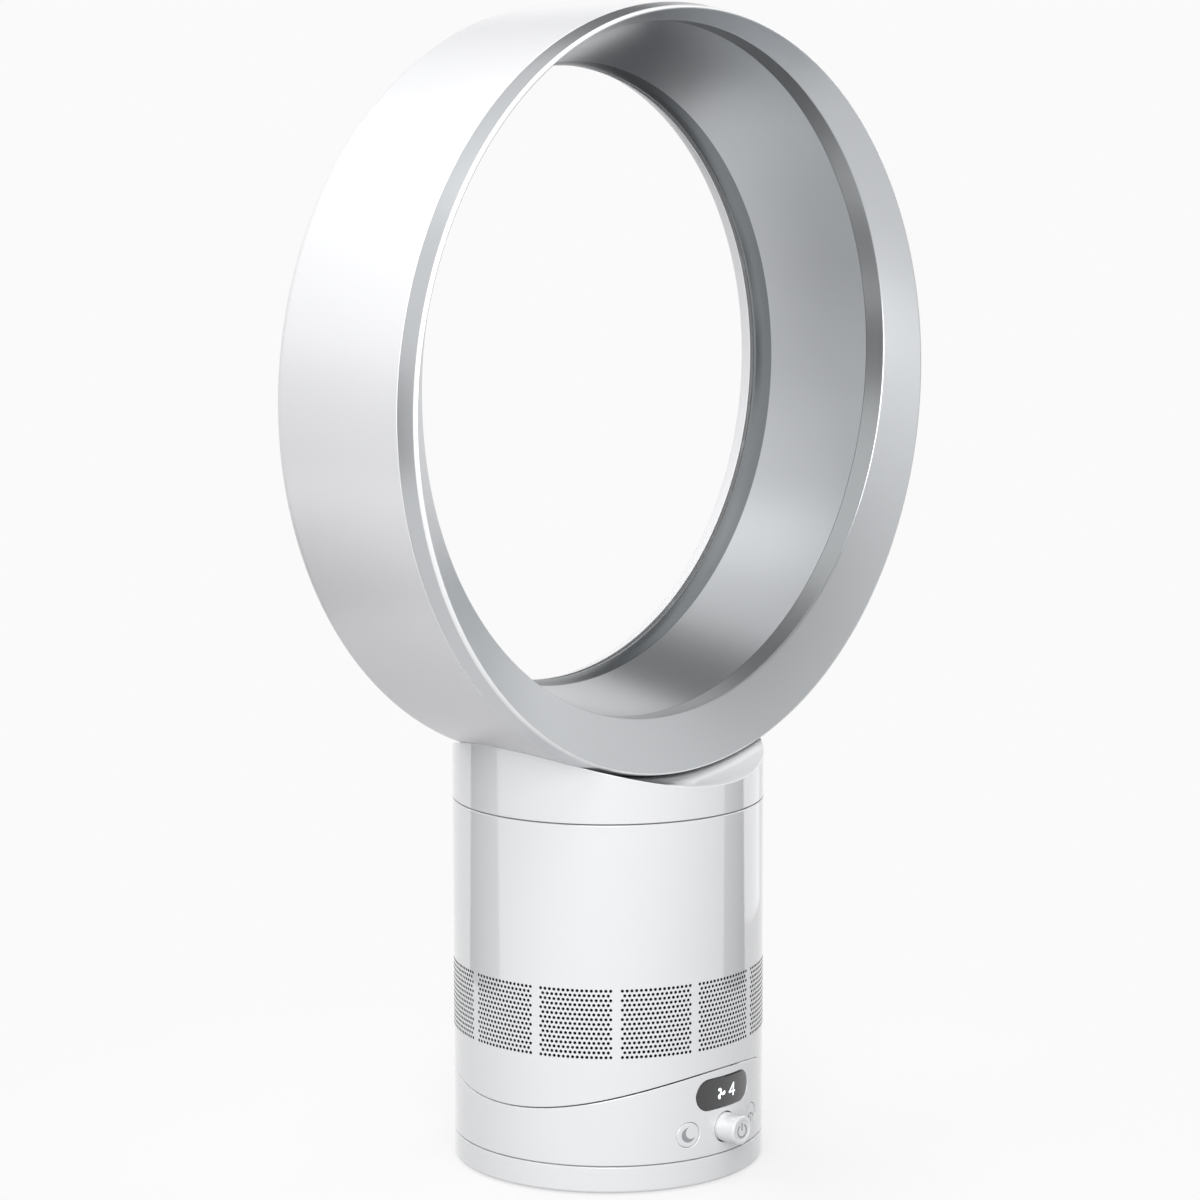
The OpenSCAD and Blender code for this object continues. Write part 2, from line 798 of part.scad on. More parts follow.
module control_housing() {
  color(white) difference() {
    union() {
      difference() {
        section_form(ctl_low_z, tilt_z, seam_edge, seam_edge);
        translate([0, 0, floor_z]) cylinder(r = inside_r, h = tilt_z);
      }
      tilt_layer(cradle_low_r + fit_gap, cradle_low_r + fit_gap + ledge_t) difference() {
        ring(inside_r - ledge_w, inside_r + fit_gap, floor_z, tilt_z);
        block(notch_x, -body_d, -notch_y, 0, tilt_z);
      }
      translate([0, 0, ctl_low_z]) cylinder(r = hub_r, h = hub_top_z - ctl_low_z);
      for (s = [-1, 1]) translate([s * ear_x, pinion_y, ctl_low_z])
        cylinder(r = post_r, h = motor_z - ctl_low_z);
    }
    about_tilt(cradle_top_r);
    translate([0, 0, -overrun]) cylinder(r = spindle_r + run_gap, h = tilt_z);
    for (s = [-1, 1]) translate([s * ear_x, pinion_y, floor_z])
      cylinder(r = motor_screw_r + run_gap, h = tilt_z - floor_z);
    housing_windows();
  }
}

// Window pane whose rim bears on the wall at both sides
module display_lens() {
  color("#121416") difference() {
    union() {
      intersection() {
        front_pill(display_w, display_h, notch_y, body_r + overrun, display_z);
        cylinder(r = body_r - fit_gap, h = tilt_z);
      }
      intersection() {
        front_pill(display_w + 2 * lens_rim, display_h, notch_y, body_r, display_z);
        cylinder(r = insert_r, h = tilt_z);
      }
    }
    cylinder(r = lens_back_r, h = tilt_z);
    about_tilt(cradle_top_r);
  }
}

module display_board() {
  color("darkgreen") {
    block(display_board_x, -display_board_y, -display_board_y + display_board_t,
      display_board_low_z, display_board_top_z);
    block(segment_w / 2, -display_board_y - segment_t, -display_board_y,
      display_z - segment_h / 2, display_z + segment_h / 2);
  }
}

module tact_switches() {
  color("silver") for (s = [-1, 1]) translate([s * button_x, 0, 0])
    block(switch_w / 2, -board_y - switch_t, -board_y, control_z - switch_w / 2,
      control_z + switch_w / 2);
}

module dial_switch() {
  color("dimgray") difference() {
    block(dial_case_w / 2, -board_y - dial_case_t, -board_y, control_z - dial_case_w / 2,
      control_z + dial_case_w / 2);
    block(stem_w / 2 + run_gap, -board_y - dial_case_t - overrun, -board_y - dial_wall_t,
      control_z - stem_w / 2 - run_gap, control_z + stem_w / 2 + run_gap);
  }
}

module control_board() {
  color("darkgreen") {
    block(board_x, -board_y, -board_y + board_t, floor_z + fit_gap, floor_z + board_h);
    for (s = [-1, 1]) translate([s * chip_x, 0, 0])
      block(chip_w / 2, -board_y + board_t, -board_y + board_t + chip_t,
        control_z - chip_h / 2, control_z + chip_h / 2);
  }
}

module oscillation_motor() {
  color("silver") difference() {
    union() {
      translate([0, pinion_y, motor_z]) cylinder(r = motor_r, h = motor_h);
      block(ear_x + post_r, pinion_y - ear_w / 2, pinion_y + ear_w / 2, motor_z, motor_z + ear_t);
    }
    translate([0, pinion_y, motor_z - overrun])
      cylinder(r = pinion_shaft_r + run_gap, h = motor_bore_depth + overrun);
    for (s = [-1, 1]) translate([s * ear_x, pinion_y, motor_z - overrun])
      cylinder(r = motor_screw_r + fit_gap, h = ear_t + 2 * overrun);
  }
}

module motor_screws() {
  color("gray") for (s = [-1, 1]) translate([s * ear_x, pinion_y, motor_z + ear_t]) {
    translate([0, 0, -motor_screw_len]) cylinder(r = motor_screw_r, h = motor_screw_len);
    cylinder(r = motor_screw_head_r, h = motor_screw_head_h);
  }
}

module oscillation_pinion() {
  color("ivory") translate([0, pinion_y, gear_z]) {
    rotate([0, 0, 180 / pinion_teeth - 90]) spur_gear(pinion_teeth, gear_t);
    cylinder(r = pinion_shaft_r, h = gear_t + motor_bore_depth);
  }
}

module tilt_cradle() {
  color(white) tilt_layer(cradle_top_r, cradle_low_r) difference() {
    translate([0, 0, floor_z]) cylinder(r = insert_r, h = tilt_z - floor_z);
    block(notch_x, -body_d, -notch_y, 0, tilt_z);
    for (s = [-1, 1]) translate([s * runner_x, 0, 0])
      block(runner_neck_w / 2 + free_gap, -slot_half, slot_half, 0, tilt_z);
    for (s = [-1, 1]) translate([s * brake_x, 0, 0]) tilt_layer(0, cradle_low_r - brake_floor)
      block(brake_w / 2 + fit_gap, -brake_len / 2 - fit_gap, brake_len / 2 + fit_gap, 0, tilt_z);
    block(spindle_bore_r, -slot_half / 2, slot_half / 2, 0, tilt_z);
  }
}

module tilt_brakes() {
  color("dimgray") tilt_layer(shoe_low_r + fit_gap, cradle_low_r - brake_floor - run_gap)
    for (s = [-1, 1]) translate([s * brake_x, 0, 0])
      block(brake_w / 2, -brake_len / 2, brake_len / 2, 0, tilt_z);
}

module dial_plunger() {
  color("gray") {
    front_pin(pin_r, shoulder_y, knob_root_y + pin_len);
    front_pin(shoulder_r, shoulder_y, shoulder_y + shoulder_t);
    block(stem_w / 2, -shoulder_y, -stem_end_y, control_z - stem_w / 2, control_z + stem_w / 2);
  }
}

module dial_knob() {
  len = knob_face_y - knob_root_y;
  color(white) difference() {
    translate([0, -knob_root_y, control_z]) rotate([90, 0, 0]) rotate_extrude()
      polygon([[0, 0], [knob_d / 2, 0], [knob_d / 2, len - knob_edge],
        [knob_d / 2 - knob_edge, len], [0, len]]);
    front_pin(pin_r + run_gap, knob_root_y - overrun, knob_root_y + pin_len + fit_gap);
  }
}

// Round button whose face follows the casing
module push_button(side) {
  color(white) {
    intersection() {
      front_pin(button_d / 2, button_back_y, body_r + overrun, side * button_x);
      cylinder(r = body_r - fit_gap, h = tilt_z);
    }
    intersection() {
      front_pin(button_d / 2 + button_rim, button_back_y, body_r, side * button_x);
      cylinder(r = inside_r - button_gap, h = tilt_z);
    }
  }
}

module sleep_timer_button() {
  push_button(-1);
}

module oscillation_button() {
  push_button(1);
}

// Tilting body

module inlet_holes() {
  for (i = [0:hole_rows - 1]) {
    cols = hole_cols - i % 2;
    around(panel_count) for (j = [0:cols - 1])
      rotate([0, 0, (j - (cols - 1) / 2) * hole_step_deg])
        translate([0, -inside_r + overrun, band_low_z + i * row_pitch]) rotate([90, 0, 0])
          cylinder(d = hole_d, h = wall + 2 * overrun, $fn = hole_fn);
  }
}

module body_shell() {
  color(white) difference() {
    union() {
      difference() {
        section_form(foot_h, body_top_z, seam_edge, seam_edge);
        cylinder(r = inside_r, h = body_top_z + overrun);
      }
      translate([0, 0, ledge_top_z]) rotate_extrude()
        polygon([[inside_r + fit_gap, 0], [mount_in_r, 0], [mount_in_r, -ledge_h],
          [inside_r + fit_gap, -ledge_h - ledge_slope_h]]);
    }
    difference() {
      translate([0, 0, -overrun]) cylinder(r = body_d, h = tilt_z + overrun);
      about_tilt(shoe_low_r, 2 * body_d);
    }
    inlet_holes();
  }
}

module tilt_shoe() {
  color("gainsboro") {
    tilt_layer(shoe_top_r, shoe_low_r)
      translate([0, 0, foot_h]) cylinder(r = insert_r, h = tilt_z - foot_h);
    for (s = [-1, 1]) {
      tilt_layer(shoe_low_r - slide_t / 2, runner_low_r) translate([s * runner_x, 0, 0])
        block(runner_neck_w / 2, -runner_len / 2, runner_len / 2, 0, tilt_z);
      tilt_layer(runner_top_r, runner_low_r) translate([s * runner_x, 0, 0])
        block(runner_foot_w / 2, -runner_len / 2, runner_len / 2, 0, tilt_z);
    }
  }
}

module inlet_foam() {
  color("#4a4d50") intersection() {
    translate([0, 0, seam_low_z]) cylinder(r = foam_r, h = foam_top_z - seam_low_z);
    about_tilt(shoe_top_r - foam_gap);
  }
}

// Air side of the shroud as radius and height, moved outwards by the given distance
shroud_steps = 8;
blend_z = bell_z + bell_r;
blend_h = shroud_z - blend_z;
function blend_slope(t) = shroud_w / blend_h * PI / 2 * sin(180 * t);
function blend_point(t, off) =
  [inlet_r + shroud_w * (1 - cos(180 * t)) / 2, blend_z + blend_h * t]
    + off * [1, -blend_slope(t)] / norm([1, blend_slope(t)]);
function blend(off, from = 0) =
  [for (i = [from:shroud_steps]) blend_point(i / shroud_steps, off)];
function bell(off) = arc([inlet_r + bell_r, bell_z + bell_r], bell_r - off, 270, 190, 5);

module impeller_housing() {
  color("whitesmoke") {
    rotate_extrude() polygon(concat(bell(0), blend(0),
      [[duct_r, duct_top_z], [duct_r + duct_wall, duct_top_z]],
      reversed(concat(bell(duct_wall), blend(duct_wall)))));
    ring(duct_r + duct_wall / 2, duct_flange_r, duct_flange_z, duct_flange_t);
  }
}

module housing_mount() {
  color("dimgray") ring(mount_in_r, mount_out_r, mount_z, mount_t);
}

// Round seat that holds a bearing
module bearing_seat(z, floor_t) {
  ring(bearing_r + fit_gap, bearing_r + seat_wall, z + floor_t / 2, floor_t / 2 + bearing_t);
}

module motor_bucket() {
  color("whitesmoke") {
    difference() {
      translate([0, 0, bucket_low_z]) cylinder(r = bucket_r, h = bucket_h);
      translate([0, 0, bucket_low_z + bucket_wall]) cylinder(r = bucket_in_r, h = bucket_h);
      translate([0, 0, bucket_low_z - overrun])
        cylinder(r = shaft_r + shaft_hole_gap, h = bucket_h);
    }
    bearing_seat(bucket_low_z, bucket_wall);
  }
}

module bearing_bridge() {
  color("gainsboro") {
    ring(shaft_r + bridge_hole_gap, bucket_in_r - fit_gap, bridge_z, bridge_t);
    bearing_seat(bridge_z, bridge_t);
  }
}

module bucket_cap() {
  inner_h = cap_h - bucket_wall;
  color("whitesmoke") translate([0, 0, cap_low_z]) rotate_extrude() polygon(concat(
    [[bucket_in_r, 0], [bucket_r, 0]],
    arc([bucket_r - cap_edge_r, cap_h - cap_edge_r], cap_edge_r, 0, 80, 5),
    [[0, cap_h + cap_crown], [0, inner_h]],
    arc([bucket_in_r - cap_edge_r, inner_h - cap_edge_r], cap_edge_r, 75, 0, 5)));
}

module diffuser() {
  in_r = bucket_r + fit_gap;
  out_r = duct_r - fit_gap;
  color("gainsboro") {
    ring(in_r, in_r + vane_hoop_t, vane_low_z, vane_h);
    ring(out_r - vane_hoop_t, out_r, vane_low_z, vane_h);
    intersection() {
      ring(in_r + vane_hoop_t / 2, out_r - vane_hoop_t / 2, vane_low_z, vane_h);
      around(vane_count) translate([0, 0, vane_low_z - thin])
        vane(vane_lean_deg, 0, vane_h + 2 * thin, in_r, duct_r);
    }
  }
}

module motor_stator() {
  color("peru") ring(stator_bore_r, bucket_in_r - fit_gap, stator_z, stator_h);
}

module motor_bearings() {
  color("silver") for (z = [low_bearing_z, top_bearing_z])
    ring(shaft_r + run_gap, bearing_r, z, bearing_t);
}

module driver_board() {
  color("darkgreen") {
    ring(driver_hole_r, bucket_in_r - fit_gap, driver_z, driver_t);
    around(driver_chips) translate([bucket_in_r / 2, -driver_chip_w / 2, driver_z])
      cube([driver_chip_w, driver_chip_w, driver_t + driver_chip_h]);
  }
}

module bucket_foam() {
  color("#4a4d50") translate([0, 0, cap_foam_z]) cylinder(r = cap_foam_r, h = cap_foam_h);
}

module outlet_collar() {
  spigot_top_z = top_seam_z + spigot_h;
  color(white) {
    ring(collar_in_r, insert_r, body_top_z - collar_t, collar_t);
    difference() {
      ring(collar_in_r, spigot_r, body_top_z - thin, spigot_top_z - body_top_z + thin);
      bayonet_slots();
    }
  }
}

// L-shaped slots: a level run for the lock and an open end for lifting off
module bayonet_slots() {
  side = lug_deg / 2 + lug_play_deg;
  r_in = collar_in_r - overrun;
  r_out = spigot_r + overrun;
  low_z = lug_low_z - free_gap;
  for (a = lug_degs) {
    sector(r_in, r_out, low_z, lug_h + 2 * free_gap, a - side, a + side + twist_deg);
    sector(r_in, r_out, low_z, spigot_h + overrun, a - side + twist_deg, a + side + twist_deg);
  }
}

// Turning group

module impeller() {
  hub = [for (p = hub_shares) [p.x * hub_out_r, hub_nose_z + p.y * (hub_top - hub_nose_z)]];
  tips = blend(-blade_tip_gap, 1);
  blade_top_z = shroud_z - blade_top_gap;
  color("gainsboro") difference() {
    union() {
      rotate_extrude() polygon(concat([[0, hub_nose_z]], hub, [[0, hub_top]]));
      intersection() {
        rotate_extrude() polygon(concat([[shaft_r + blade_inset, hub_nose_z + blade_inset]],
          [for (p = tips) if (p.y < blade_top_z) p],
          [[duct_r - 2 * blade_tip_gap, blade_top_z], [hub_out_r - overrun, blade_top_z]]));
        around(blade_count) translate([0, 0, hub_nose_z])
          vane(blade_lean_degs[0], blade_lean_degs[1], shroud_z - hub_nose_z, shaft_r, duct_r);
      }
    }
    translate([0, 0, hub_nose_z + hub_tip_t]) cylinder(r = shaft_r + run_gap, h = tilt_z);
    ring(shaft_r + hub_boss_w, hub_out_r - hub_skirt_t, bucket_low_z - hub_gap - hub_hollow,
      hub_hollow + overrun);
  }
}

module motor_shaft() {
  color("silver") translate([0, 0, shaft_low_z])
    cylinder(r = shaft_r, h = shaft_top_z - shaft_low_z);
}

module rotor_magnet() {
  color("dimgray") ring(shaft_r + run_gap / 2, stator_bore_r - rotor_gap,
    stator_z + rotor_gap, stator_h - 2 * rotor_gap);
}

// Nozzle

module nozzle_neck() {
  color(white) difference() {
    union() {
      difference() {
        section_form(neck_low_z, loop_z, seam_edge, seam_edge);
        difference() {
          translate([0, 0, neck_low_z + web_t]) cylinder(r = inside_r, h = loop_r);
          saddle(fit_gap + saddle_t);
        }
        translate([0, 0, neck_low_z - overrun]) cylinder(r = socket_in_r, h = web_t + 2 * overrun);
      }
      ring(socket_in_r, socket_out_r, neck_low_z, socket_h);
      for (a = lug_degs) sector(socket_in_r - lug_depth, socket_in_r + fit_gap, lug_low_z, lug_h,
        a - lug_deg / 2, a + lug_deg / 2);
    }
    saddle(fit_gap);
    ring(seal_in_r - fit_gap, seal_out_r + fit_gap, neck_low_z - overrun,
      overrun + seal_t - seam_gap + fit_gap);
    block(mouth_x, mouth_front_y, mouth_back_y, neck_low_z + web_t, loop_z);
  }
}

module neck_seal() {
  color("dimgray") ring(seal_in_r, seal_out_r, body_top_z + run_gap, seal_t - run_gap);
}

module outer_casing() {
  corner = [loop_r - loop_draft - loop_corner_r, rear_y - loop_corner_r];
  plate_t = wall + plate_extra;
  profile = concat([[loop_r, -loop_front]], arc(corner, loop_corner_r, 0, 90, 6),
    [[coanda_end_r, rear_y], [coanda_end_r, rear_y - plate_t]],
    arc(corner, loop_corner_r - plate_t, 90, 0, 4), [[loop_r - wall, -loop_front]]);
  color(white) {
    difference() {
      about_loop(loop_z) rotate_extrude($fn = fine_fn) polygon(profile);
      loop_disc(casing_hole_r, 0, 2 * rear_y, throat_z);
      block(mouth_x, mouth_front_y, mouth_back_y, 0, loop_z - loop_r / 2);
    }
    rear_lip();
  }
}

// Rolled edge of the outer casing that covers the curved surface and leaves the slot
module rear_lip() {
  c = [coanda_end_r, throat_y];
  root_r = casing_hole_r + rim_overlap;
  slot_side = arc(c, coanda_r + slot_w, 90, 90 + lip_turn_deg, 5);
  tip = slot_side[len(slot_side) - 1];
  roll = [for (p = lip_shares) tip + [p.x * (root_r - tip.x), p.y * roll_depth]];
  about_loop(throat_z) rotate_extrude($fn = fine_fn) polygon(concat(
    [[root_r, c.y + coanda_r + slot_w]], slot_side, roll, [[root_r, rear_y]]));
}

module inner_casing() {
  c = [coanda_end_r, throat_y];
  crest = concat([[cone_end_r - blend_step, cone_end_y],
    [throat_r + crest_drop * crest_shares[0], throat_y - crest_lead * crest_shares[1]]],
    arc(c, coanda_r, 180, 90, 5),
    [[c.x + crest_w, c.y + coanda_r], [c.x + crest_w, c.y + coanda_r - crest_t],
      [cone_end_r + inner_wall + crest_drop, c.y],
      [cone_end_r + inner_wall + blend_step, cone_end_y]]);
  color(silver) {
    difference() {
      slanted_cone(step_r + inner_wall, cone_y, step_z, cone_end_r + inner_wall, cone_end_y,
        throat_z);
      slanted_cone(step_r + cone_lead, cone_y - overrun, step_z + cone_slide,
        cone_end_r - cone_lead, cone_end_y + overrun, throat_z - cone_slide);
    }
    about_loop(throat_z) rotate_extrude($fn = fine_fn) polygon(crest);
  }
}

module front_trim() {
  lip_r = loop_r - chamfer_width;
  tongue_r = loop_r - wall - fit_gap;
  tongue_end_r = tongue_r - casing_slope * tongue_len;
  back_y = cone_y - fit_gap;
  color(silver) difference() {
    union() {
      about_loop(loop_z) rotate_extrude($fn = fine_fn) polygon(concat(
        [[0, mouth_front_y], [tongue_end_r, mouth_front_y],
          [tongue_r, -loop_front - fit_gap], [loop_r, -loop_front - fit_gap],
          [lip_r, lip_y]],
        [for (p = nose_shares) [lip_r - p.x * lip_t, lip_y - p.y * lip_nose]],
        [[0, nose_y]]));
      loop_disc(step_r + trim_wall, step_y, back_y, step_z);
    }
    slanted_cone(lip_r - lip_t * flare_edge_share, nose_y, loop_z, step_r - blend_step, step_y,
      step_z);
    loop_disc(step_r, step_y - thin, back_y + overrun, step_z);
    difference() {
      loop_disc(tongue_end_r - trim_wall, lip_y, back_y + overrun, loop_z);
      slanted_cone(lip_r + trim_floor, nose_y, loop_z, step_r + trim_wall - blend_step,
        step_y + trim_floor, step_z);
      loop_disc(step_r + trim_wall, step_y, back_y + 2 * overrun, step_z);
    }
  }
}

module slot_spacers() {
  r_in = coanda_end_r + spacer_in;
  r_out = coanda_end_r + inner_wall;
  color("whitesmoke") about_loop(throat_z) intersection() {
    ring(r_in, r_out, throat_y + coanda_r, slot_w, $fn = fine_fn);
    around(spacer_count, 180 / spacer_count) translate([r_in, -spacer_w / 2, 0])
      cube([r_out - r_in, spacer_w, rear_y]);
  }
}

foot_shell();
rubber_foot();
base_plate();
base_screws();
pivot_spindle();
oscillation_gear();
spindle_clip();
thrust_ring();
power_jack();
control_housing();
display_lens();
display_board();
tact_switches();
dial_switch();
control_board();
oscillation_motor();
motor_screws();
oscillation_pinion();
tilt_cradle();
tilt_brakes();
dial_plunger();
dial_knob();
sleep_timer_button();
oscillation_button();
body_shell();
tilt_shoe();
inlet_foam();
impeller_housing();
housing_mount();
motor_bucket();
bucket_cap();
bearing_bridge();
diffuser();
motor_stator();
motor_bearings();
driver_board();
bucket_foam();
outlet_collar();
impeller();
motor_shaft();
rotor_magnet();
nozzle_neck();
neck_seal();
outer_casing();
inner_casing();
front_trim();
slot_spacers();
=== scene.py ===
import json
from math import acos, atan2, cos, hypot, pi, radians, sin, sqrt

import bmesh
import bpy
from mathutils import Matrix, Vector
from mathutils.geometry import delaunay_2d_cdt


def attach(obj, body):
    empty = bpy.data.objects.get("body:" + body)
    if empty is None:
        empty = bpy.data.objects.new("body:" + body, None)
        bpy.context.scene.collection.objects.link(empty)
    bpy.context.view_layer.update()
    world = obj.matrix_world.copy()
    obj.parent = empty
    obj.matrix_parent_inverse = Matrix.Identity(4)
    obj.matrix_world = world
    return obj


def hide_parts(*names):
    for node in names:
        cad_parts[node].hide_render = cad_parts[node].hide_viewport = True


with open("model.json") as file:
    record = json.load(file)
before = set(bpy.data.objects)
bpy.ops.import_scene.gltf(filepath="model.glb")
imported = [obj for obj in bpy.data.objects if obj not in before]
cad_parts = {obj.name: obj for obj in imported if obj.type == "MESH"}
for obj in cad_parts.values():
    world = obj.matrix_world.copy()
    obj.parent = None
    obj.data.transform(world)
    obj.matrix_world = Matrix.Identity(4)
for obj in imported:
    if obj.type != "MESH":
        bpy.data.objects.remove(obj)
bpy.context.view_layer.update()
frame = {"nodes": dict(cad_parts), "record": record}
scene = bpy.context.scene
MM = 0.001

# Sizes in millimetres, the same as in the CAD source
R = 63.5
WALL = 2.2
INNER_R = R - WALL
TILT_Z = 188.096
SEAM_R = 155.0
GAP = 0.5
FOOT_Z = 11.6
NECK_Z = 150.2
LOOP_Z, STEP_Z, THROAT_Z = 316.4, 324.3, 319.8
LOOP_R, STEP_R, THROAT_R = 153.0, 138.1, 124.6
LOOP_FRONT, LOOP_BACK, LOOP_DRAFT, LOOP_CORNER = 34, 34.6, 1.4, 6
SLOT_Y = 25.8
CONTROL_Z = 22.1
DISPLAY_W, DISPLAY_H, DISPLAY_Z = 31.4, 12.8, 36.826
KNOB_R, KNOB_Y = 5.9, 72.4
BUTTON_X, BUTTON_R = 19.2, 5.0
COLUMNS = 240


# Node materials

class Nodes:
    """Short way to write a node tree."""

    def __init__(self, tree):
        self.tree = tree
        tree.nodes.clear()

    def add(self, kind, inputs=None, **props):
        node = self.tree.nodes.new("ShaderNode" + kind)
        for key, value in props.items():
            setattr(node, key, value)
        for key, value in (inputs or {}).items():
            socket = node.inputs[key]
            if isinstance(value, bpy.types.NodeSocket):
                self.tree.links.new(value, socket)
            else:
                socket.default_value = value
        return node


def node_material(name):
    mat = bpy.data.materials.new(name)
    mat.use_nodes = True
    return mat, Nodes(mat.node_tree)


def ramp(n, source, stops):
    node = n.add("ValToRGB", {"Fac": source})
    marks = node.color_ramp.elements
    while len(marks) < len(stops):
        marks.new(0.5)
    for mark, (at, value) in zip(marks, stops):
        mark.position = at
        mark.color = (*value, 1) if isinstance(value, tuple) else (value, value, value, 1)
    return node.outputs["Color"]


def plastic(name, color, rough=0.35, metal=0.0, coat=0.0, grain=400.0, bump=0.02, vary=0.04, wear=0.03, **extra):
    """Moulded or painted surface: fine grain in the bump, slow variation in colour and roughness."""
    mat, n = node_material(name)
    at = n.add("TexCoord").outputs["Object"]
    fine = n.add("TexNoise", {"Vector": at, "Scale": grain, "Detail": 3.0, "Roughness": 0.6}).outputs["Fac"]
    slow = n.add("TexNoise", {"Vector": at, "Scale": 14.0, "Detail": 4.0, "Roughness": 0.55}).outputs["Fac"]
    dark = tuple(c * (1 - wear) for c in color)
    mix = n.add("MixRGB", {"Fac": slow, "Color1": (*dark, 1), "Color2": (*color, 1)})
    spread = n.add("MapRange", {"Value": slow, "To Min": max(0.02, rough - vary), "To Max": rough + vary})
    bumps = n.add("Bump", {"Height": fine, "Strength": bump, "Distance": 0.0004})
    inputs = {"Base Color": mix.outputs["Color"], "Roughness": spread.outputs["Result"], "Metallic": metal,
              "Normal": bumps.outputs["Normal"], "Coat Weight": coat}
    inputs.update(extra)
    shader = n.add("BsdfPrincipled", inputs)
    n.add("OutputMaterial", {"Surface": shader.outputs["BSDF"]})
    return mat


def brushed(name, color, rough, stretch):
    """Turned or drawn metal with fine lines across one axis."""
    mat, n = node_material(name)
    at = n.add("TexCoord").outputs["Object"]
    along = n.add("Mapping", {"Vector": at, "Scale": stretch})
    lines = n.add("TexNoise", {"Vector": along.outputs["Vector"], "Scale": 60.0, "Detail": 5.0}).outputs["Fac"]
    color = n.add("MixRGB", {"Fac": lines, "Color1": (*(c * 0.85 for c in color), 1), "Color2": (*color, 1)})
    spread = n.add("MapRange", {"Value": lines, "To Min": rough - 0.06, "To Max": rough + 0.08})
    bumps = n.add("Bump", {"Height": lines, "Strength": 0.08, "Distance": 0.0003})
    shader = n.add("BsdfPrincipled", {"Base Color": color.outputs["Color"], "Metallic": 1.0,
                                      "Roughness": spread.outputs["Result"], "Normal": bumps.outputs["Normal"]})
    n.add("OutputMaterial", {"Surface": shader.outputs["BSDF"]})
    return mat


def foam(name, color):
    mat, n = node_material(name)
    at = n.add("TexCoord").outputs["Object"]
    cells = n.add("TexVoronoi", {"Vector": at, "Scale": 900.0}).outputs["Distance"]
    tone = ramp(n, cells, [(0.0, tuple(c * 0.35 for c in color)), (0.7, color)])
    bumps = n.add("Bump", {"Height": cells, "Strength": 0.6, "Distance": 0.0006})
    shader = n.add("BsdfPrincipled", {"Base Color": tone, "Roughness": 0.95, "Normal": bumps.outputs["Normal"]})
    n.add("OutputMaterial", {"Surface": shader.outputs["BSDF"]})
    return mat


def glow(name, color, strength):
    mat, n = node_material(name)
    at = n.add("TexCoord").outputs["Object"]
    slow = n.add("TexNoise", {"Vector": at, "Scale": 300.0, "Detail": 2.0}).outputs["Fac"]
    tone = ramp(n, slow, [(0.3, tuple(c * 0.9 for c in color)), (0.6, color)])
    shader = n.add("BsdfPrincipled", {"Base Color": tone, "Roughness": 0.4, "Emission Color": tone,
                                      "Emission Strength": strength})
    n.add("OutputMaterial", {"Surface": shader.outputs["BSDF"]})
    return mat


WHITE = plastic("gloss_white_plastic", (0.83, 0.835, 0.845), rough=0.12, coat=1.0, grain=900, bump=0.012, vary=0.02,
                wear=0.012, **{"Coat Roughness": 0.04, "Coat IOR": 1.6})
SHELL = plastic("satin_pearl_paint", (0.80, 0.80, 0.81), rough=0.30, metal=0.05, coat=0.25, grain=2600, bump=0.03,
                vary=0.03, wear=0.02, **{"Coat Roughness": 0.25})
SILVER = plastic("satin_silver_paint", (0.55, 0.565, 0.58), rough=0.30, metal=0.85, coat=0.15, grain=3000, bump=0.035,
                 vary=0.03, wear=0.03, **{"Coat Roughness": 0.2})
# Near-white colour for the lip's nose: a painted highlight, the bright line of light along the rounded lip
LIP_PAINTED_HIGHLIGHT = plastic("lip_painted_highlight", (0.93, 0.935, 0.94), rough=0.25, metal=0.1, coat=0.3, grain=3000, bump=0.02, vary=0.03,
                 wear=0.01, **{"Coat Roughness": 0.2})
# Darker silver for the step band between the flare and the inner wall: painted shade for a band that faces away from
# the light
STEP_BAND_PAINTED_SHADE = plastic("silver_step_painted_shade", (0.43, 0.445, 0.455), rough=0.32, metal=0.85, coat=0.15, grain=3000, bump=0.035,
               vary=0.03, wear=0.03, **{"Coat Roughness": 0.2})
# Dark silver for the crest and slot of the inner wall: painted shade and painted dark reflection of the slot gap
CREST_PAINTED_SHADE = plastic("crest_painted_shade_silver", (0.22, 0.235, 0.245), rough=0.32, metal=0.8, coat=0.1, grain=3000, bump=0.035,
                vary=0.03, wear=0.03, **{"Coat Roughness": 0.2})
BLACK_GLASS = plastic("dark_window", (0.006, 0.007, 0.009), rough=0.06, coat=1.0, grain=500, bump=0.004, vary=0.015,
                      wear=0.2, **{"Coat Roughness": 0.02})
RUBBER = plastic("grey_rubber", (0.045, 0.046, 0.048), rough=0.75, grain=1500, bump=0.35, vary=0.08, wear=0.2)
LIGHT = plastic("light_moulding", (0.62, 0.63, 0.64), rough=0.5, grain=1200, bump=0.12, vary=0.05, wear=0.05)
CREAM = plastic("bearing_plastic", (0.70, 0.66, 0.54), rough=0.38, grain=1200, bump=0.08, vary=0.05, wear=0.06)
BLACK = plastic("black_moulding", (0.018, 0.018, 0.02), rough=0.5, grain=1500, bump=0.2, vary=0.06, wear=0.2)
BOARD = plastic("circuit_board", (0.012, 0.07, 0.03), rough=0.35, coat=0.4, grain=260, bump=0.25, vary=0.08, wear=0.5)
WINDING = brushed("copper_winding", (0.62, 0.27, 0.12), 0.35, (1, 1, 30))
MAGNET = plastic("sintered_magnet", (0.09, 0.09, 0.095), rough=0.6, metal=0.6, grain=900, bump=0.25, vary=0.08,
                 wear=0.3)
STEEL = brushed("turned_steel", (0.56, 0.57, 0.59), 0.28, (2, 2, 40))
ZINC = plastic("zinc_screw", (0.60, 0.61, 0.62), rough=0.35, metal=1.0, grain=700, bump=0.1, vary=0.08, wear=0.15)
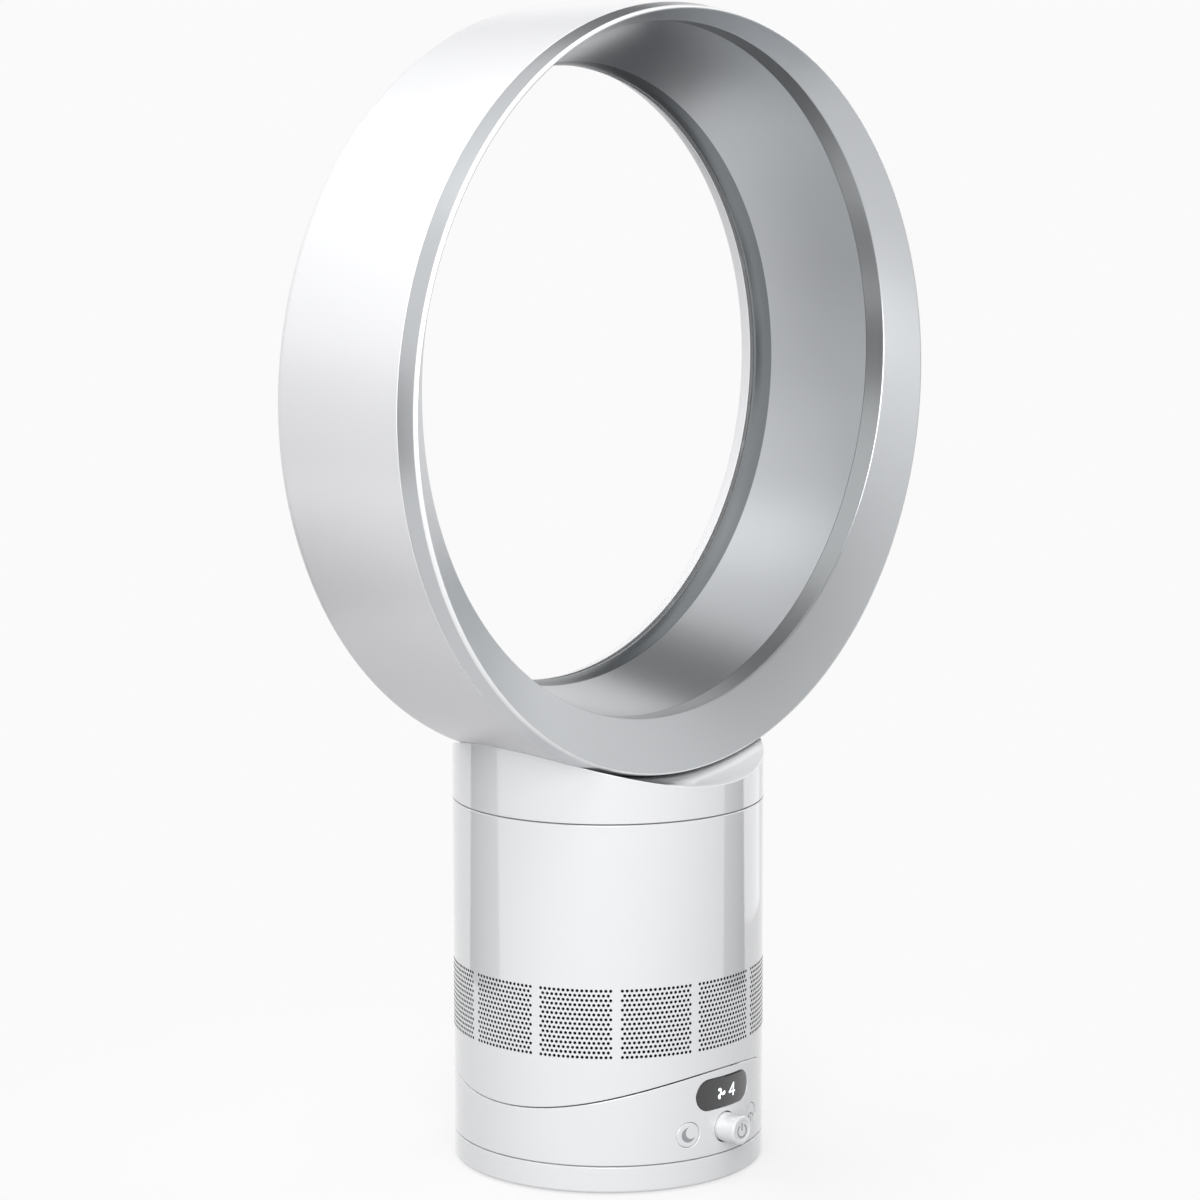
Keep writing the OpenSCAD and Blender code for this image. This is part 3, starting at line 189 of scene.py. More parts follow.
CASE = brushed("drawn_motor_case", (0.60, 0.61, 0.62), 0.32, (3, 3, 30))
FOAM = foam("open_cell_foam", (0.05, 0.052, 0.055))
MESH = foam("dark_filter", (0.016, 0.017, 0.018))
# Near-black for the walls of the perforation holes: painted shade for the dark inside the holes
HOLE_WALL_PAINTED_SHADE = plastic("hole_wall", (0.035, 0.036, 0.038), rough=0.6, grain=1500, bump=0.2, vary=0.06, wear=0.2)
PRINT = plastic("grey_print", (0.36, 0.38, 0.39), rough=0.45, grain=1500, bump=0.1, vary=0.05, wear=0.1)
LIT = glow("lit_segment", (0.93, 0.96, 1.0), 0.9)

SLOTS = {
    "gloss_white": WHITE, "satin_silver": SILVER, "lens_black": BLACK_GLASS, "grey_rubber": RUBBER,
    "light_plastic": LIGHT, "bearing_plastic": CREAM, "black_plastic": BLACK, "zinc_screw": ZINC,
    "spring_steel": STEEL, "motor_case": CASE, "board_green": BOARD, "winding": WINDING, "magnet": MAGNET,
    "dark_foam": FOAM,
}
for part in frame["record"]["subparts"]:
    mesh = frame["nodes"][part["node"]].data
    mesh.materials.clear()
    mesh.materials.append(SLOTS[part["material_slot"]])


# Mesh helpers

def piece(name, verts, faces, material, body, slot, nodes=(), sharp=35, weld=0.0002, radial=(), weighted=True):
    """Mesh in millimetres; radial lists the radii about Z whose faces take exact cylinder normals."""
    mesh = bpy.data.meshes.new(name)
    mesh.from_pydata([(x * MM, y * MM, z * MM) for x, y, z in verts], [], faces)
    bm = bmesh.new()
    bm.from_mesh(mesh)
    bmesh.ops.remove_doubles(bm, verts=bm.verts, dist=weld * MM)
    bmesh.ops.dissolve_degenerate(bm, edges=bm.edges, dist=1e-8)
    bmesh.ops.recalc_face_normals(bm, faces=bm.faces)
    bm.to_mesh(mesh)
    bm.free()
    mesh.materials.append(material)
    mesh.polygons.foreach_set("use_smooth", [True] * len(mesh.polygons))
    mesh.set_sharp_from_angle(angle=radians(sharp))
    obj = bpy.data.objects.new(name, mesh)
    scene.collection.objects.link(obj)
    if radial:
        normals = []
        for poly in mesh.polygons:
            points = [mesh.vertices[mesh.loops[i].vertex_index].co for i in poly.loop_indices]
            for r in radial:
                if all(abs(hypot(p.x, p.y) - r * MM) < 2e-6 for p in points):
                    out = 1 if poly.normal.dot(Vector((poly.center.x, poly.center.y, 0))) > 0 else -1
                    normals += [Vector((p.x, p.y, 0)).normalized() * out for p in points]
                    break
            else:
                normals += [Vector((0, 0, 0))] * len(points)
        mesh.normals_split_custom_set(normals)
    elif weighted:
        even = obj.modifiers.new("even", "WEIGHTED_NORMAL")
        even.keep_sharp = True
        even.weight = 60
    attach(obj, body)
    if nodes:
        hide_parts(*nodes)
    return obj


def paint(obj, material, test):
    """Gives the faces that pass the test, on their middle in millimetres, another material."""
    obj.data.materials.append(material)
    for poly in obj.data.polygons:
        if test(poly.center / MM):
            poly.material_index = len(obj.data.materials) - 1


def rounded(corners, steps=6):
    """Closed outline whose corners (x, y, radius) are rounded."""
    out = []
    count = len(corners)
    for i, (x, y, r) in enumerate(corners):
        p = Vector((x, y))
        if not r:
            out.append((x, y))
            continue
        a = Vector(corners[i - 1][:2]) - p
        b = Vector(corners[(i + 1) % count][:2]) - p
        a.normalize()
        b.normalize()
        half = acos(max(-1, min(1, a.dot(b)))) / 2
        centre = p + (a + b).normalized() * (r / sin(half))
        start = p + a * (r / (sin(half) / cos(half))) - centre
        end = p + b * (r / (sin(half) / cos(half))) - centre
        turn = start.angle_signed(end)
        for k in range(steps + 1):
            s = start.copy()
            s.rotate(Matrix.Rotation(-turn * k / steps, 2))
            out.append(tuple(centre + s))
    return out


def smooth(points, steps=6):
    """Curve through the points."""
    out = []
    p = [Vector(q) for q in points]
    for i in range(len(p) - 1):
        a, b, c, d = p[max(i - 1, 0)], p[i], p[i + 1], p[min(i + 2, len(p) - 1)]
        for k in range(steps):
            t = k / steps
            out.append(tuple(0.5 * ((2 * b) + (c - a) * t + (2 * a - 5 * b + 4 * c - d) * t * t
                                    + (3 * b - a - 3 * c + d) * t ** 3)))
    out.append(tuple(p[-1]))
    return out


def arc(cx, cy, r, a0, a1, n):
    return [(cx + r * cos(radians(a0 + (a1 - a0) * i / n)), cy + r * sin(radians(a0 + (a1 - a0) * i / n)))
            for i in range(n + 1)]


def at_angle(outline, a):
    """Outline of (radius, z) turned about Z; angle 0 is the front."""
    return [(r * sin(a), -r * cos(a), z) for r, z in outline]


def sweep(section, angles, closed=True):
    """Quads between the sections at each angle; section(angle) gives points."""
    rows = [section(a) for a in angles]
    verts = [p for row in rows for p in row]
    m = len(rows[0])
    n = len(rows)
    faces = []
    for i in range(n if closed else n - 1):
        j = (i + 1) % n
        for k in range(m):
            q = (k + 1) % m
            faces.append((i * m + k, j * m + k, j * m + q, i * m + q))
    return verts, faces


def full_turn(n=COLUMNS):
    return [2 * pi * i / n for i in range(n)]


def lathe(outline, n=COLUMNS):
    """Solid about Z from a closed outline of (radius, z); angle 0 is the front."""
    return sweep(lambda a: at_angle(outline, a), full_turn(n))


def lathe_y(outline, x, z, n=96):
    """Solid about a line along Y from a closed outline of (radius, y)."""
    return sweep(lambda a: [(x + r * sin(a), y, z + r * cos(a)) for r, y in outline], full_turn(n))


def loop(outline, n=360):
    """Solid about the loop from a closed outline of (radius, y, height of the ring's middle)."""
    return sweep(lambda a: [(r * sin(a), y, c + r * cos(a)) for r, y, c in outline], full_turn(n))


def join(*parts):
    verts, faces = [], []
    for v, f in parts:
        base = len(verts)
        verts += v
        faces += [tuple(i + base for i in face) for face in f]
    return verts, faces


def without_wall(verts, faces, radii, low, high, middle=0.0, half=2 * pi):
    """Faces without those of the walls with these radii that lie between two heights and around an angle."""
    kept = []
    for face in faces:
        points = [verts[i] for i in face]
        a = atan2(sum(p[0] for p in points), -sum(p[1] for p in points))
        z = sum(p[2] for p in points) / len(points)
        on_wall = any(all(abs(hypot(p[0], p[1]) - r) < 0.01 for p in points) for r in radii)
        near = abs((a - middle + pi) % (2 * pi) - pi) < half
        if not (on_wall and near and low < z < high):
            kept.append(face)
    return verts, kept


def pierced(boundary, holes, grid, inside, place):
    """Triangles of a flat sheet with holes, put in place by place(u, v). holes are (outline, distance) pairs."""
    points = [Vector(p) for p in boundary]
    count = len(points)
    edges = [(i, (i + 1) % count) for i in range(count)]
    for outline, _ in holes:
        base = len(points)
        points += [Vector(p) for p in outline]
        edges += [(base + i, base + (i + 1) % len(outline)) for i in range(len(outline))]
    points += [Vector(p) for p in grid]
    out_points, _, out_faces = delaunay_2d_cdt(points, edges, [], 0, 1e-6, False)[:3]
    faces = []
    for face in out_faces:
        u = sum(out_points[i].x for i in face) / 3
        v = sum(out_points[i].y for i in face) / 3
        if inside(u, v) and all(far(u, v) > 0 for _, far in holes):
            faces.append(tuple(face))
    return [place(p.x, p.y) for p in out_points], faces


def bridge(ring_a, ring_b):
    """Quads between two closed rings with the same number of points."""
    n = len(ring_a)
    return list(ring_a) + list(ring_b), [(i, (i + 1) % n, n + (i + 1) % n, n + i) for i in range(n)]


def pill(w, h, x=0.0, z=0.0, grow=0.0, steps=20, run=16):
    half, r = (w - h) / 2, h / 2
    outline = []
    for s in (1, -1):
        outline += [(x + s * (half + (r + grow) * cos(t)), z + s * (r + grow) * sin(t))
                    for t in (-pi / 2 + pi * i / steps for i in range(steps + 1))]
        outline += [(x + s * half * (1 - 2 * i / run), z + s * (r + grow)) for i in range(1, run)]
    return outline if half > 1e-6 else outline[:steps] + outline[steps + run:-run]


def pill_distance(w, h, x=0.0, z=0.0):
    half, r = (w - h) / 2, h / 2
    return lambda u, v: hypot(max(abs(u - x) - half, 0), v - z) - r


# Base: foot, control section, body and neck

def seam(r, y):
    """Height of the wavy seam's face with radius r about the tilt axis, at distance y from the middle."""
    return TILT_Z - sqrt(r * r - y * y)


foot_top = FOOT_Z - GAP / 2
JACK_Z, JACK_R = 5.375, 3.45
foot_out = rounded([(INNER_R, 0.6, 0.15), (R, 0.6, 1.2), (R, foot_top, 0.35), (54.1, foot_top, 0), (54.1, 10.35, 0),
                    (48.9, 10.35, 0), (48.9, foot_top, 0), (9.1, foot_top, 0), (9.1, 8.95, 0), (INNER_R, 8.95, 0.4)])
BACK_COLS = 8
back_cols = [pi + 2 * pi * i / COLUMNS for i in range(-BACK_COLS, BACK_COLS + 1)]


def back_wall(r, z_low, z_top):
    """Rear of the foot's wall with the round hole for the power inlet."""
    boundary = [(-r * sin(a), z_low) for a in back_cols] + [(-r * sin(a), z_top) for a in reversed(back_cols)]
    hole = [(JACK_R * sin(t), JACK_Z + JACK_R * cos(t)) for t in full_turn(48)]
    far = lambda u, v: hypot(u, v - JACK_Z) - JACK_R
    grid = [(r * sin(a - pi), z_low + (z_top - z_low) * k / 6) for a in back_cols[1:-1] for k in range(1, 6)]
    grid = [(u, v) for u, v in grid if far(u, v) > 0.4]
    return pierced(boundary, [(hole, far)], grid, lambda u, v: True, lambda u, v: (u, sqrt(r * r - u * u), v))


foot_z = sorted({round(z, 4) for r, z in foot_out if abs(r - R) < 1e-4})
in_z = sorted({round(z, 4) for r, z in foot_out if abs(r - INNER_R) < 1e-4})
case = lathe(foot_out)
case = without_wall(*case, (R, INNER_R), 0, FOOT_Z, pi, 2 * pi * BACK_COLS / COLUMNS)
hole_wall = bridge(*[[(JACK_R * sin(t), sqrt(r * r - (JACK_R * sin(t)) ** 2), JACK_Z + JACK_R * cos(t))
                      for t in full_turn(48)] for r in (R, INNER_R)])
case = join(case, back_wall(R, foot_z[0], foot_z[-1]), back_wall(INNER_R, in_z[0], in_z[-1]), hole_wall)
piece("foot_case", *case, WHITE, "foot", "gloss_white", ["foot_shell"], radial=(R,))
RIBS, RIB_HALF, RIB_LOW, RIB_START = 8, 0.7, 5.95, 15.4
BOSSES, BOSS_AT = 4, 42
DECK_Z = 9.0
box_faces = [(0, 1, 2, 3), (4, 7, 6, 5), (0, 4, 5, 1), (1, 5, 6, 2), (2, 6, 7, 3), (3, 7, 4, 0)]
for i in range(RIBS):
    a = radians(22.5 + 45 * i)
    rib_end = INNER_R + 0.2
    rib = [(r * cos(a) + s * RIB_HALF * -sin(a), r * sin(a) + s * RIB_HALF * cos(a), z)
           for z in (RIB_LOW, DECK_Z) for r, s in ((RIB_START, -1), (rib_end, -1), (rib_end, 1), (RIB_START, 1))]
    piece(f"foot_rib_{i + 1}", rib, box_faces, WHITE, "foot", "gloss_white")
for i in range(BOSSES):
    a = radians(45 + 90 * i)
    boss = lathe([(1.55, 2.9), (4.0, 2.9), (4.0, DECK_Z), (1.55, DECK_Z)], 40)
    piece(f"foot_boss_{i + 1}", [(x + BOSS_AT * cos(a), y + BOSS_AT * sin(a), z) for x, y, z in boss[0]], boss[1],
          WHITE, "foot", "gloss_white")

edge = 0.35
low = FOOT_Z + GAP / 2
top_r = SEAM_R + GAP / 2
front_angle = radians(27)
all_angles = full_turn()
centred_angles = [(i - COLUMNS // 2) * 2 * pi / COLUMNS for i in range(COLUMNS)]
front_cols = [a for a in centred_angles if abs(a) <= front_angle + 1e-6]
FLOOR_TOP = 14.05
FRONT_ROWS = 24
edge_arc = [(edge * (1 - cos(radians(a))), edge * (1 - sin(radians(a)))) for a in (0, 18, 36, 54, 72, 90)]


def housing_section(a):
    """Closed outline of the control section at an angle, from the bottom edge outwards and up."""
    top = seam(top_r, R * cos(a))
    out = [(9.15, low)] + [(R - x, low + z) for x, z in reversed(edge_arc)]
    out += [(R - x, top - z) for x, z in edge_arc]
    out += [(INNER_R, seam(top_r, INNER_R * cos(a))), (INNER_R, FLOOR_TOP), (13.0, FLOOR_TOP), (13.0, 15.25),
            (9.15, 15.25)]
    return at_angle(out, a)


# Width, height, middle x and z, gap round the part in it, rounding of the edge
windows = [(DISPLAY_W, DISPLAY_H, 0.0, DISPLAY_Z, 0.15, 0.25), (2 * KNOB_R, 2 * KNOB_R, 0.0, CONTROL_Z, 0.4, 0.45)]
windows += [(2 * BUTTON_R, 2 * BUTTON_R, s * BUTTON_X, CONTROL_Z, 0.2, 0.3) for s in (-1, 1)]


def front_wall(r, z_low, z_top, grows):
    """Front of the wall at radius r with the windows, each grown by the given amount."""
    xs = [r * sin(a) for a in front_cols]
    boundary = [(x, z_low) for x in xs] + [(r * sin(a), z_top(a)) for a in reversed(front_cols)]
    holes = [(pill(w, h, x, z, g), pill_distance(w + 2 * g, h + 2 * g, x, z))
             for (w, h, x, z, _, _), g in zip(windows, grows)]
    grid = []
    for a in front_cols[1:-1]:
        x = r * sin(a)
        for k in range(1, FRONT_ROWS):
            z = z_low + (z_top(a) - z_low) * k / FRONT_ROWS
            if all(far(x, z) > 0.5 for _, far in holes):
                grid.append((x, z))
    return pierced(boundary, holes, grid, lambda u, v: v < z_top(atan2(u, sqrt(r * r - u * u))) - 1e-4,
                   lambda u, v: (u, -sqrt(r * r - u * u), v))


def window_walls():
    """Rounded edge and wall of each window."""
    parts = []
    for w, h, x, z, gap, lip in windows:
        steps = [(gap + lip * (1 - sin(radians(t))), lip * (1 - cos(radians(t)))) for t in (0, 22.5, 45, 67.5, 90)]
        steps.append((gap, WALL))
        rings = [[(u, -sqrt((R - d) ** 2 - u * u), v) for u, v in pill(w, h, x, z, g)] for g, d in steps]
        parts += [bridge(a, b) for a, b in zip(rings, rings[1:])]
    return join(*parts)


shell = sweep(housing_section, all_angles)
shell = without_wall(*shell, [R], low + edge, NECK_Z, 0, front_angle)
shell = without_wall(*shell, [INNER_R], FLOOR_TOP - 0.05, NECK_Z, 0, front_angle)
outer = front_wall(R, low + edge, lambda a: seam(top_r, R * cos(a)) - edge, [w[4] + w[5] for w in windows])
inner = front_wall(INNER_R, FLOOR_TOP, lambda a: seam(top_r, INNER_R * cos(a)), [w[4] for w in windows])
piece("control_case", *join(shell, outer, inner, window_walls()), WHITE, "control_base", "gloss_white",
      ["control_housing"], radial=(R, INNER_R))

EAR_X, MOTOR_Y = 17, 36
for i, x in enumerate((-EAR_X, EAR_X)):
    post = lathe([(1.25, 14.0), (3.5, 14.0), (3.5, 20.55), (1.25, 20.55)], 48)
    piece(f"motor_post_{i + 1}", [(x + u, MOTOR_Y + v, w) for u, v, w in post[0]], post[1], WHITE, "control_base",
          "gloss_white")

LEDGE_IN, LEDGE_OUT = 58.8, 61.4
LEDGE_TOP_R, LEDGE_LOW_R = 157.85, 159.35
LEDGE_STEPS = 180


def ledge_section(a):
    """Ledge that the tilt cradle sits on."""
    corners = [(LEDGE_IN, LEDGE_LOW_R), (LEDGE_OUT, LEDGE_LOW_R), (LEDGE_OUT, LEDGE_TOP_R), (LEDGE_IN, LEDGE_TOP_R)]
    out = [(r, seam(s, r * cos(a))) for r, s in corners]
    return at_angle(out, a)


ledge_rows = [radians(19.7 + 320.6 * i / LEDGE_STEPS) for i in range(LEDGE_STEPS + 1)]
ledge = sweep(ledge_section, ledge_rows, False)
ledge_ends = [(0, 1, 2, 3), tuple(range(4 * LEDGE_STEPS, 4 * LEDGE_STEPS + 4))]
piece("tilt_ledge", ledge[0], ledge[1] + ledge_ends, WHITE, "control_base", "gloss_white")


# Body with the perforated band
ROWS, COLS, HOLE_D, HOLE_SIDES = 15, 16, 1.3, 10
MARGIN_DEG, MARGIN_ROWS = 14.4, 16
BAND_LOW, BAND_TOP = 55.7, 84.0
PANELS, PANEL_DEG = 12, 27.0
row_pitch = (BAND_TOP - BAND_LOW - HOLE_D) / (ROWS - 1)
col_step = (radians(PANEL_DEG) - HOLE_D / R) / (COLS - 1)
band_low, band_top = BAND_LOW - 1.0, BAND_TOP + 1.0
body_top = NECK_Z - GAP / 2
skin_r = R - 0.8
shoe_r = SEAM_R - GAP / 2


def body_section(a):
    base = seam(shoe_r, R * cos(a))
    out = [(R - x, base + z) for x, z in reversed(edge_arc)] + [(R, band_low), (R, band_top)]
    out += [(R - x, body_top - z) for x, z in edge_arc]
    out += [(INNER_R, body_top), (INNER_R, 136.55), (55.0, 136.55), (55.0, 133.95), (INNER_R, 128.95),
            (INNER_R, band_top + 1.5), (skin_r, band_top), (skin_r, band_low), (INNER_R, band_low - 1.5),
            (INNER_R, seam(shoe_r, INNER_R * cos(a)))]
    return at_angle(out, a)


def panel(turn):
    """One perforated panel with the strips beside it: outside, inside and the walls of its holes."""
    per_panel = COLUMNS // PANELS
    cols = [radians(-180 / PANELS + 360 / PANELS * i / per_panel) for i in range(per_panel + 1)]
    centres = []
    for row in range(ROWS):
        count = COLS - row % 2
        centres += [((i - (count - 1) / 2) * col_step, BAND_LOW + HOLE_D / 2 + row * row_pitch) for i in range(count)]
    corners = [2 * pi * (i + 0.5) / HOLE_SIDES for i in range(HOLE_SIDES)]
    ring = [(HOLE_D / 2 * cos(t), HOLE_D / 2 * sin(t)) for t in corners]
    boundary = [(a * R, band_low) for a in cols] + [(a * R, band_top) for a in reversed(cols)]
    outlines = [[(a * R + u, z + v) for u, v in ring] for a, z in centres]
    margin = [(s * radians(MARGIN_DEG) * R, band_low + (band_top - band_low) * k / MARGIN_ROWS)
              for s in (-1, 1) for k in range(1, MARGIN_ROWS)]

    def open_at(u, v):
        row = round((v - BAND_LOW - HOLE_D / 2) / row_pitch)
        if not 0 <= row < ROWS:
            return True
        count = COLS - row % 2
        col = round(u / R / col_step + (count - 1) / 2)
        if not 0 <= col < count:
            return True
        cu = (col - (count - 1) / 2) * col_step * R
        return hypot(u - cu, v - BAND_LOW - HOLE_D / 2 - row * row_pitch) > HOLE_D / 2 * 0.9

    sheet = pierced(boundary, [(o, lambda u, v: 1) for o in outlines], margin, open_at, lambda u, v: (u, v))
    parts = []

    def put(r):
        return lambda p: (r * sin(p[0] / R + turn), -r * cos(p[0] / R + turn), p[1])

    for r in (R, skin_r):
        parts.append(([put(r)(p) for p in sheet[0]], sheet[1]))
    for outline in outlines:
        parts.append(bridge([put(R)(p) for p in outline], [put(skin_r)(p) for p in outline]))
    return join(*parts)


plain = without_wall(*sweep(body_section, all_angles), (R, skin_r), band_low, band_top)
band = [panel(2 * pi * i / PANELS) for i in range(PANELS)]
body = piece("body_case", *join(plain, *band), WHITE, "main_body", "gloss_white", ["body_shell"], radial=(R, skin_r),
             weld=0.002)
# Painted shade: the hole walls and the inner faces across the band take the near-black colour
paint(body, HOLE_WALL_PAINTED_SHADE, lambda p: hypot(p.x, p.y) < R - 0.1 and band_low < p.z < band_top)
FILTER_IN, FILTER_OUT, FILTER_LOW, FILTER_TOP = 60.4, 60.9, 53.0, 87.0
filter_outline = [(FILTER_IN, FILTER_LOW), (FILTER_OUT, FILTER_LOW), (FILTER_OUT, FILTER_TOP), (FILTER_IN, FILTER_TOP)]
piece("band_filter", *lathe(filter_outline, 120), MESH, "main_body", "dark_foam", radial=(FILTER_OUT,))


# Neck with its saddle under the loop
SLOPE = LOOP_DRAFT / (LOOP_BACK - LOOP_CORNER + LOOP_FRONT)


def saddle(x, y):
    """Height of the neck's top, which follows the loop's outer wall."""
    r = LOOP_R + 0.1 - SLOPE * (y + LOOP_FRONT)
    return LOOP_Z - sqrt(r * r - x * x)


EDGE_R = R - edge
LUG_DEG = 10
MOUTH_X, MOUTH_Y, MOUTH_STEPS = 38, 26, 12
SOCKET_R, PLATE = 51.3, 2.4
mouth = [(-MOUTH_X, -MOUTH_Y), (MOUTH_X, -MOUTH_Y), (MOUTH_X, MOUTH_Y), (-MOUTH_X, MOUTH_Y)]
mouth_outline = []
for (x0, y0), (x1, y1) in zip(mouth, mouth[1:] + mouth[:1]):
    mouth_outline += [(x0 + (x1 - x0) * k / MOUTH_STEPS, y0 + (y1 - y0) * k / MOUTH_STEPS) for k in range(MOUTH_STEPS)]


def neck_section(a):
    """Open outline of the neck: from the shelf's edge down the outside, round the socket, up under the shelf."""
    base = NECK_Z + GAP / 2
    at = lambda r: saddle(r * sin(a), -r * cos(a))
    out = [(EDGE_R, at(EDGE_R))] + [(R - x, at(R) - z) for x, z in reversed(edge_arc[:-1])]
    out += [(R - x, base + z) for x, z in edge_arc]
    out += [(59.2, base), (59.2, base + 1.1), (55.6, base + 1.1), (55.6, base)]
    out += [(SOCKET_R, base), (SOCKET_R, base + 9.6), (53.5, base + 9.6), (53.5, base + 2.2), (INNER_R, base + 2.2),
            (INNER_R, at(INNER_R) - PLATE)]
    return at_angle(out, a)


def shelf(radius, drop):
    """Saddle with the mouth in it, within the radius."""
    boundary = [(radius * sin(a), -radius * cos(a)) for a in all_angles]
    grid = [(r * sin(a), -r * cos(a)) for r in (10, 20, 30, 40, 47, 52, 56, 59) for a in full_turn(int(r * 3))]
    grid = [(x, y) for x, y in grid if not (abs(x) < MOUTH_X + 1 and abs(y) < MOUTH_Y + 1)]
    away = lambda u, v: max(abs(u) - MOUTH_X, abs(v) - MOUTH_Y)
    return pierced(boundary, [(mouth_outline, away)], grid, lambda u, v: True, lambda u, v: (u, v, saddle(u, v) - drop))


def lug(deg):
    """Bayonet lug inside the socket."""
    low, high = NECK_Z + GAP / 2 + 2.5, NECK_Z + GAP / 2 + 5.9
    root = SOCKET_R + 0.1
    out = [(48.9, low + 0.2), (49.1, low), (root, low), (root, high), (49.1, high), (48.9, high - 0.2)]
    rows = [radians(deg - 5 + k) for k in range(LUG_DEG + 1)]
    verts, faces = sweep(lambda a: [(r * cos(a), r * sin(a), z) for r, z in out], rows, False)
    count = len(out)
    return verts, faces + [tuple(range(count)), tuple(range(LUG_DEG * count, (LUG_DEG + 1) * count))]


def open_sweep(section, angles):
    """Faces of an open outline swept round, without the strip that would close it."""
    verts, faces = sweep(section, angles)
    m = len(verts) // len(angles)
    return verts, [f for f in faces if not ({i % m for i in f} == {0, m - 1})]


throat = bridge(*[[(x, y, saddle(x, y) - drop) for x, y in mouth_outline] for drop in (0, PLATE)])
neck_mesh = join(open_sweep(neck_section, all_angles), shelf(EDGE_R, 0), shelf(INNER_R, PLATE), throat)
piece("neck_case", *neck_mesh, WHITE, "nozzle", "gloss_white", ["nozzle_neck"], radial=(R,))
for i, deg in enumerate((30, 150, 270)):
    piece(f"bayonet_lug_{i + 1}", *lug(deg), WHITE, "nozzle", "gloss_white")


# Loop
def with_middle(points, z):
    return [(r, y, z) for r, y in points]


corner = (LOOP_R - LOOP_DRAFT - LOOP_CORNER, LOOP_BACK - LOOP_CORNER)
slot_arc = arc(THROAT_R + 4, SLOT_Y, 5.3, 90, 130, 8)
tip = slot_arc[-1]
root_r = THROAT_R + 4 + 6 + 3
shares = [(-0.02, 0.04), (0.01, 0.25), (0.1, 0.7), (0.17, 0.92), (0.27, 1), (0.44, 0.96), (0.71, 0.79)]
roll = smooth([tip] + [(tip[0] + u * (root_r - tip[0]), tip[1] + v * 7.1) for u, v in shares] + [(root_r, 34.62)], 4)
casing = with_middle([(LOOP_R - WALL, -34), (LOOP_R - 0.3, -34), (LOOP_R - 0.08, -33.9), (LOOP_R, -33.7)], LOOP_Z)
casing += with_middle(arc(*corner, LOOP_CORNER, 0, 90, 12), LOOP_Z)
casing += with_middle([(root_r + 2, LOOP_BACK)] + roll[::-1] + slot_arc[::-1][1:], THROAT_Z)
casing += with_middle([(root_r, 31.1), (root_r + 2, 32.0)], THROAT_Z)
casing += with_middle(arc(*corner, 3.5, 90, 0, 6), LOOP_Z)
piece("loop_casing", *loop(casing), SHELL, "nozzle", "gloss_white", ["outer_casing"], sharp=50)

trim = with_middle([(150.7, -27.0), (150.7, -34.1), (LOOP_R - 0.35, -34.1), (LOOP_R - 0.1, -34.2),
                    (LOOP_R - 0.02, -34.45), (151.85, -41.3), (151.7, -41.9), (151.45, -42.45), (151.15, -42.78),
                    (150.85, -42.9), (150.6, -42.86), (150.4, -42.72)], LOOP_Z)
trim += with_middle([(STEP_R + 0.45, -32.82), (STEP_R + 0.14, -32.5), (STEP_R, -32.1), (STEP_R, -23.5),
                     (STEP_R + 1.6, -23.5), (STEP_R + 1.6, -30.6)], STEP_Z)
trim += [(149.0, -38.0, LOOP_Z + 0.9), (149.0, -27.0, LOOP_Z)]
front = piece("loop_front", *loop(trim), SILVER, "nozzle", "satin_silver", ["front_trim"], sharp=40)
# Painted highlight: the faces of the lip's nose take the near-white colour of the bright line along the lip
paint(front, LIP_PAINTED_HIGHLIGHT, lambda p: p.y < -41.4 and hypot(p.x, p.z - LOOP_Z) > 150.95)
# Painted shade: the step band takes the darker silver
paint(front, STEP_BAND_PAINTED_SHADE, lambda p: p.y > -32.6 and hypot(p.x, p.z - STEP_Z) < STEP_R + 0.1)

cone_r = THROAT_R + 1.7
crest = smooth([(cone_r + 0.32, 18.0), (cone_r, 19.0), (THROAT_R + 0.52, 22.8), (THROAT_R, SLOT_Y)], 5)[5:]
air = [(STEP_R, -23.3, STEP_Z)] + with_middle(crest, THROAT_Z)
air += with_middle(arc(THROAT_R + 4, SLOT_Y, 4, 180, 90, 12)[1:], THROAT_Z)
air += with_middle([(THROAT_R + 6.9, 29.8), (THROAT_R + 6.9, 27.8), (THROAT_R + 6.3, SLOT_Y), (cone_r + 2.4, 19.0)],
                   THROAT_Z)
air += [(STEP_R + 2.4, -23.3, STEP_Z)]
INNER_Ring = piece("loop_air_wall", *loop(air), SILVER, "nozzle", "satin_silver", ["inner_casing"], sharp=50)
# Painted shade: the crest and slot, behind y = 19.1 mm, take the dark silver
paint(INNER_Ring, CREST_PAINTED_SHADE, lambda p: p.y > 19.1)


# Controls
dial_outline = rounded([(2.05, -60.9, 0), (KNOB_R, -60.9, 0), (KNOB_R, -KNOB_Y, 0.75), (4.4, -KNOB_Y, 0.3),
                        (4.1, -KNOB_Y + 0.3, 0.2), (0.0, -KNOB_Y + 0.3, 0), (0.0, -69.0, 0), (2.05, -69.0, 0)])
piece("dial_cap", *lathe_y(dial_outline, 0, CONTROL_Z), WHITE, "dial", "gloss_white", ["dial_knob"])

RIM_R, BUTTON_BACK = 6.0, -54.8


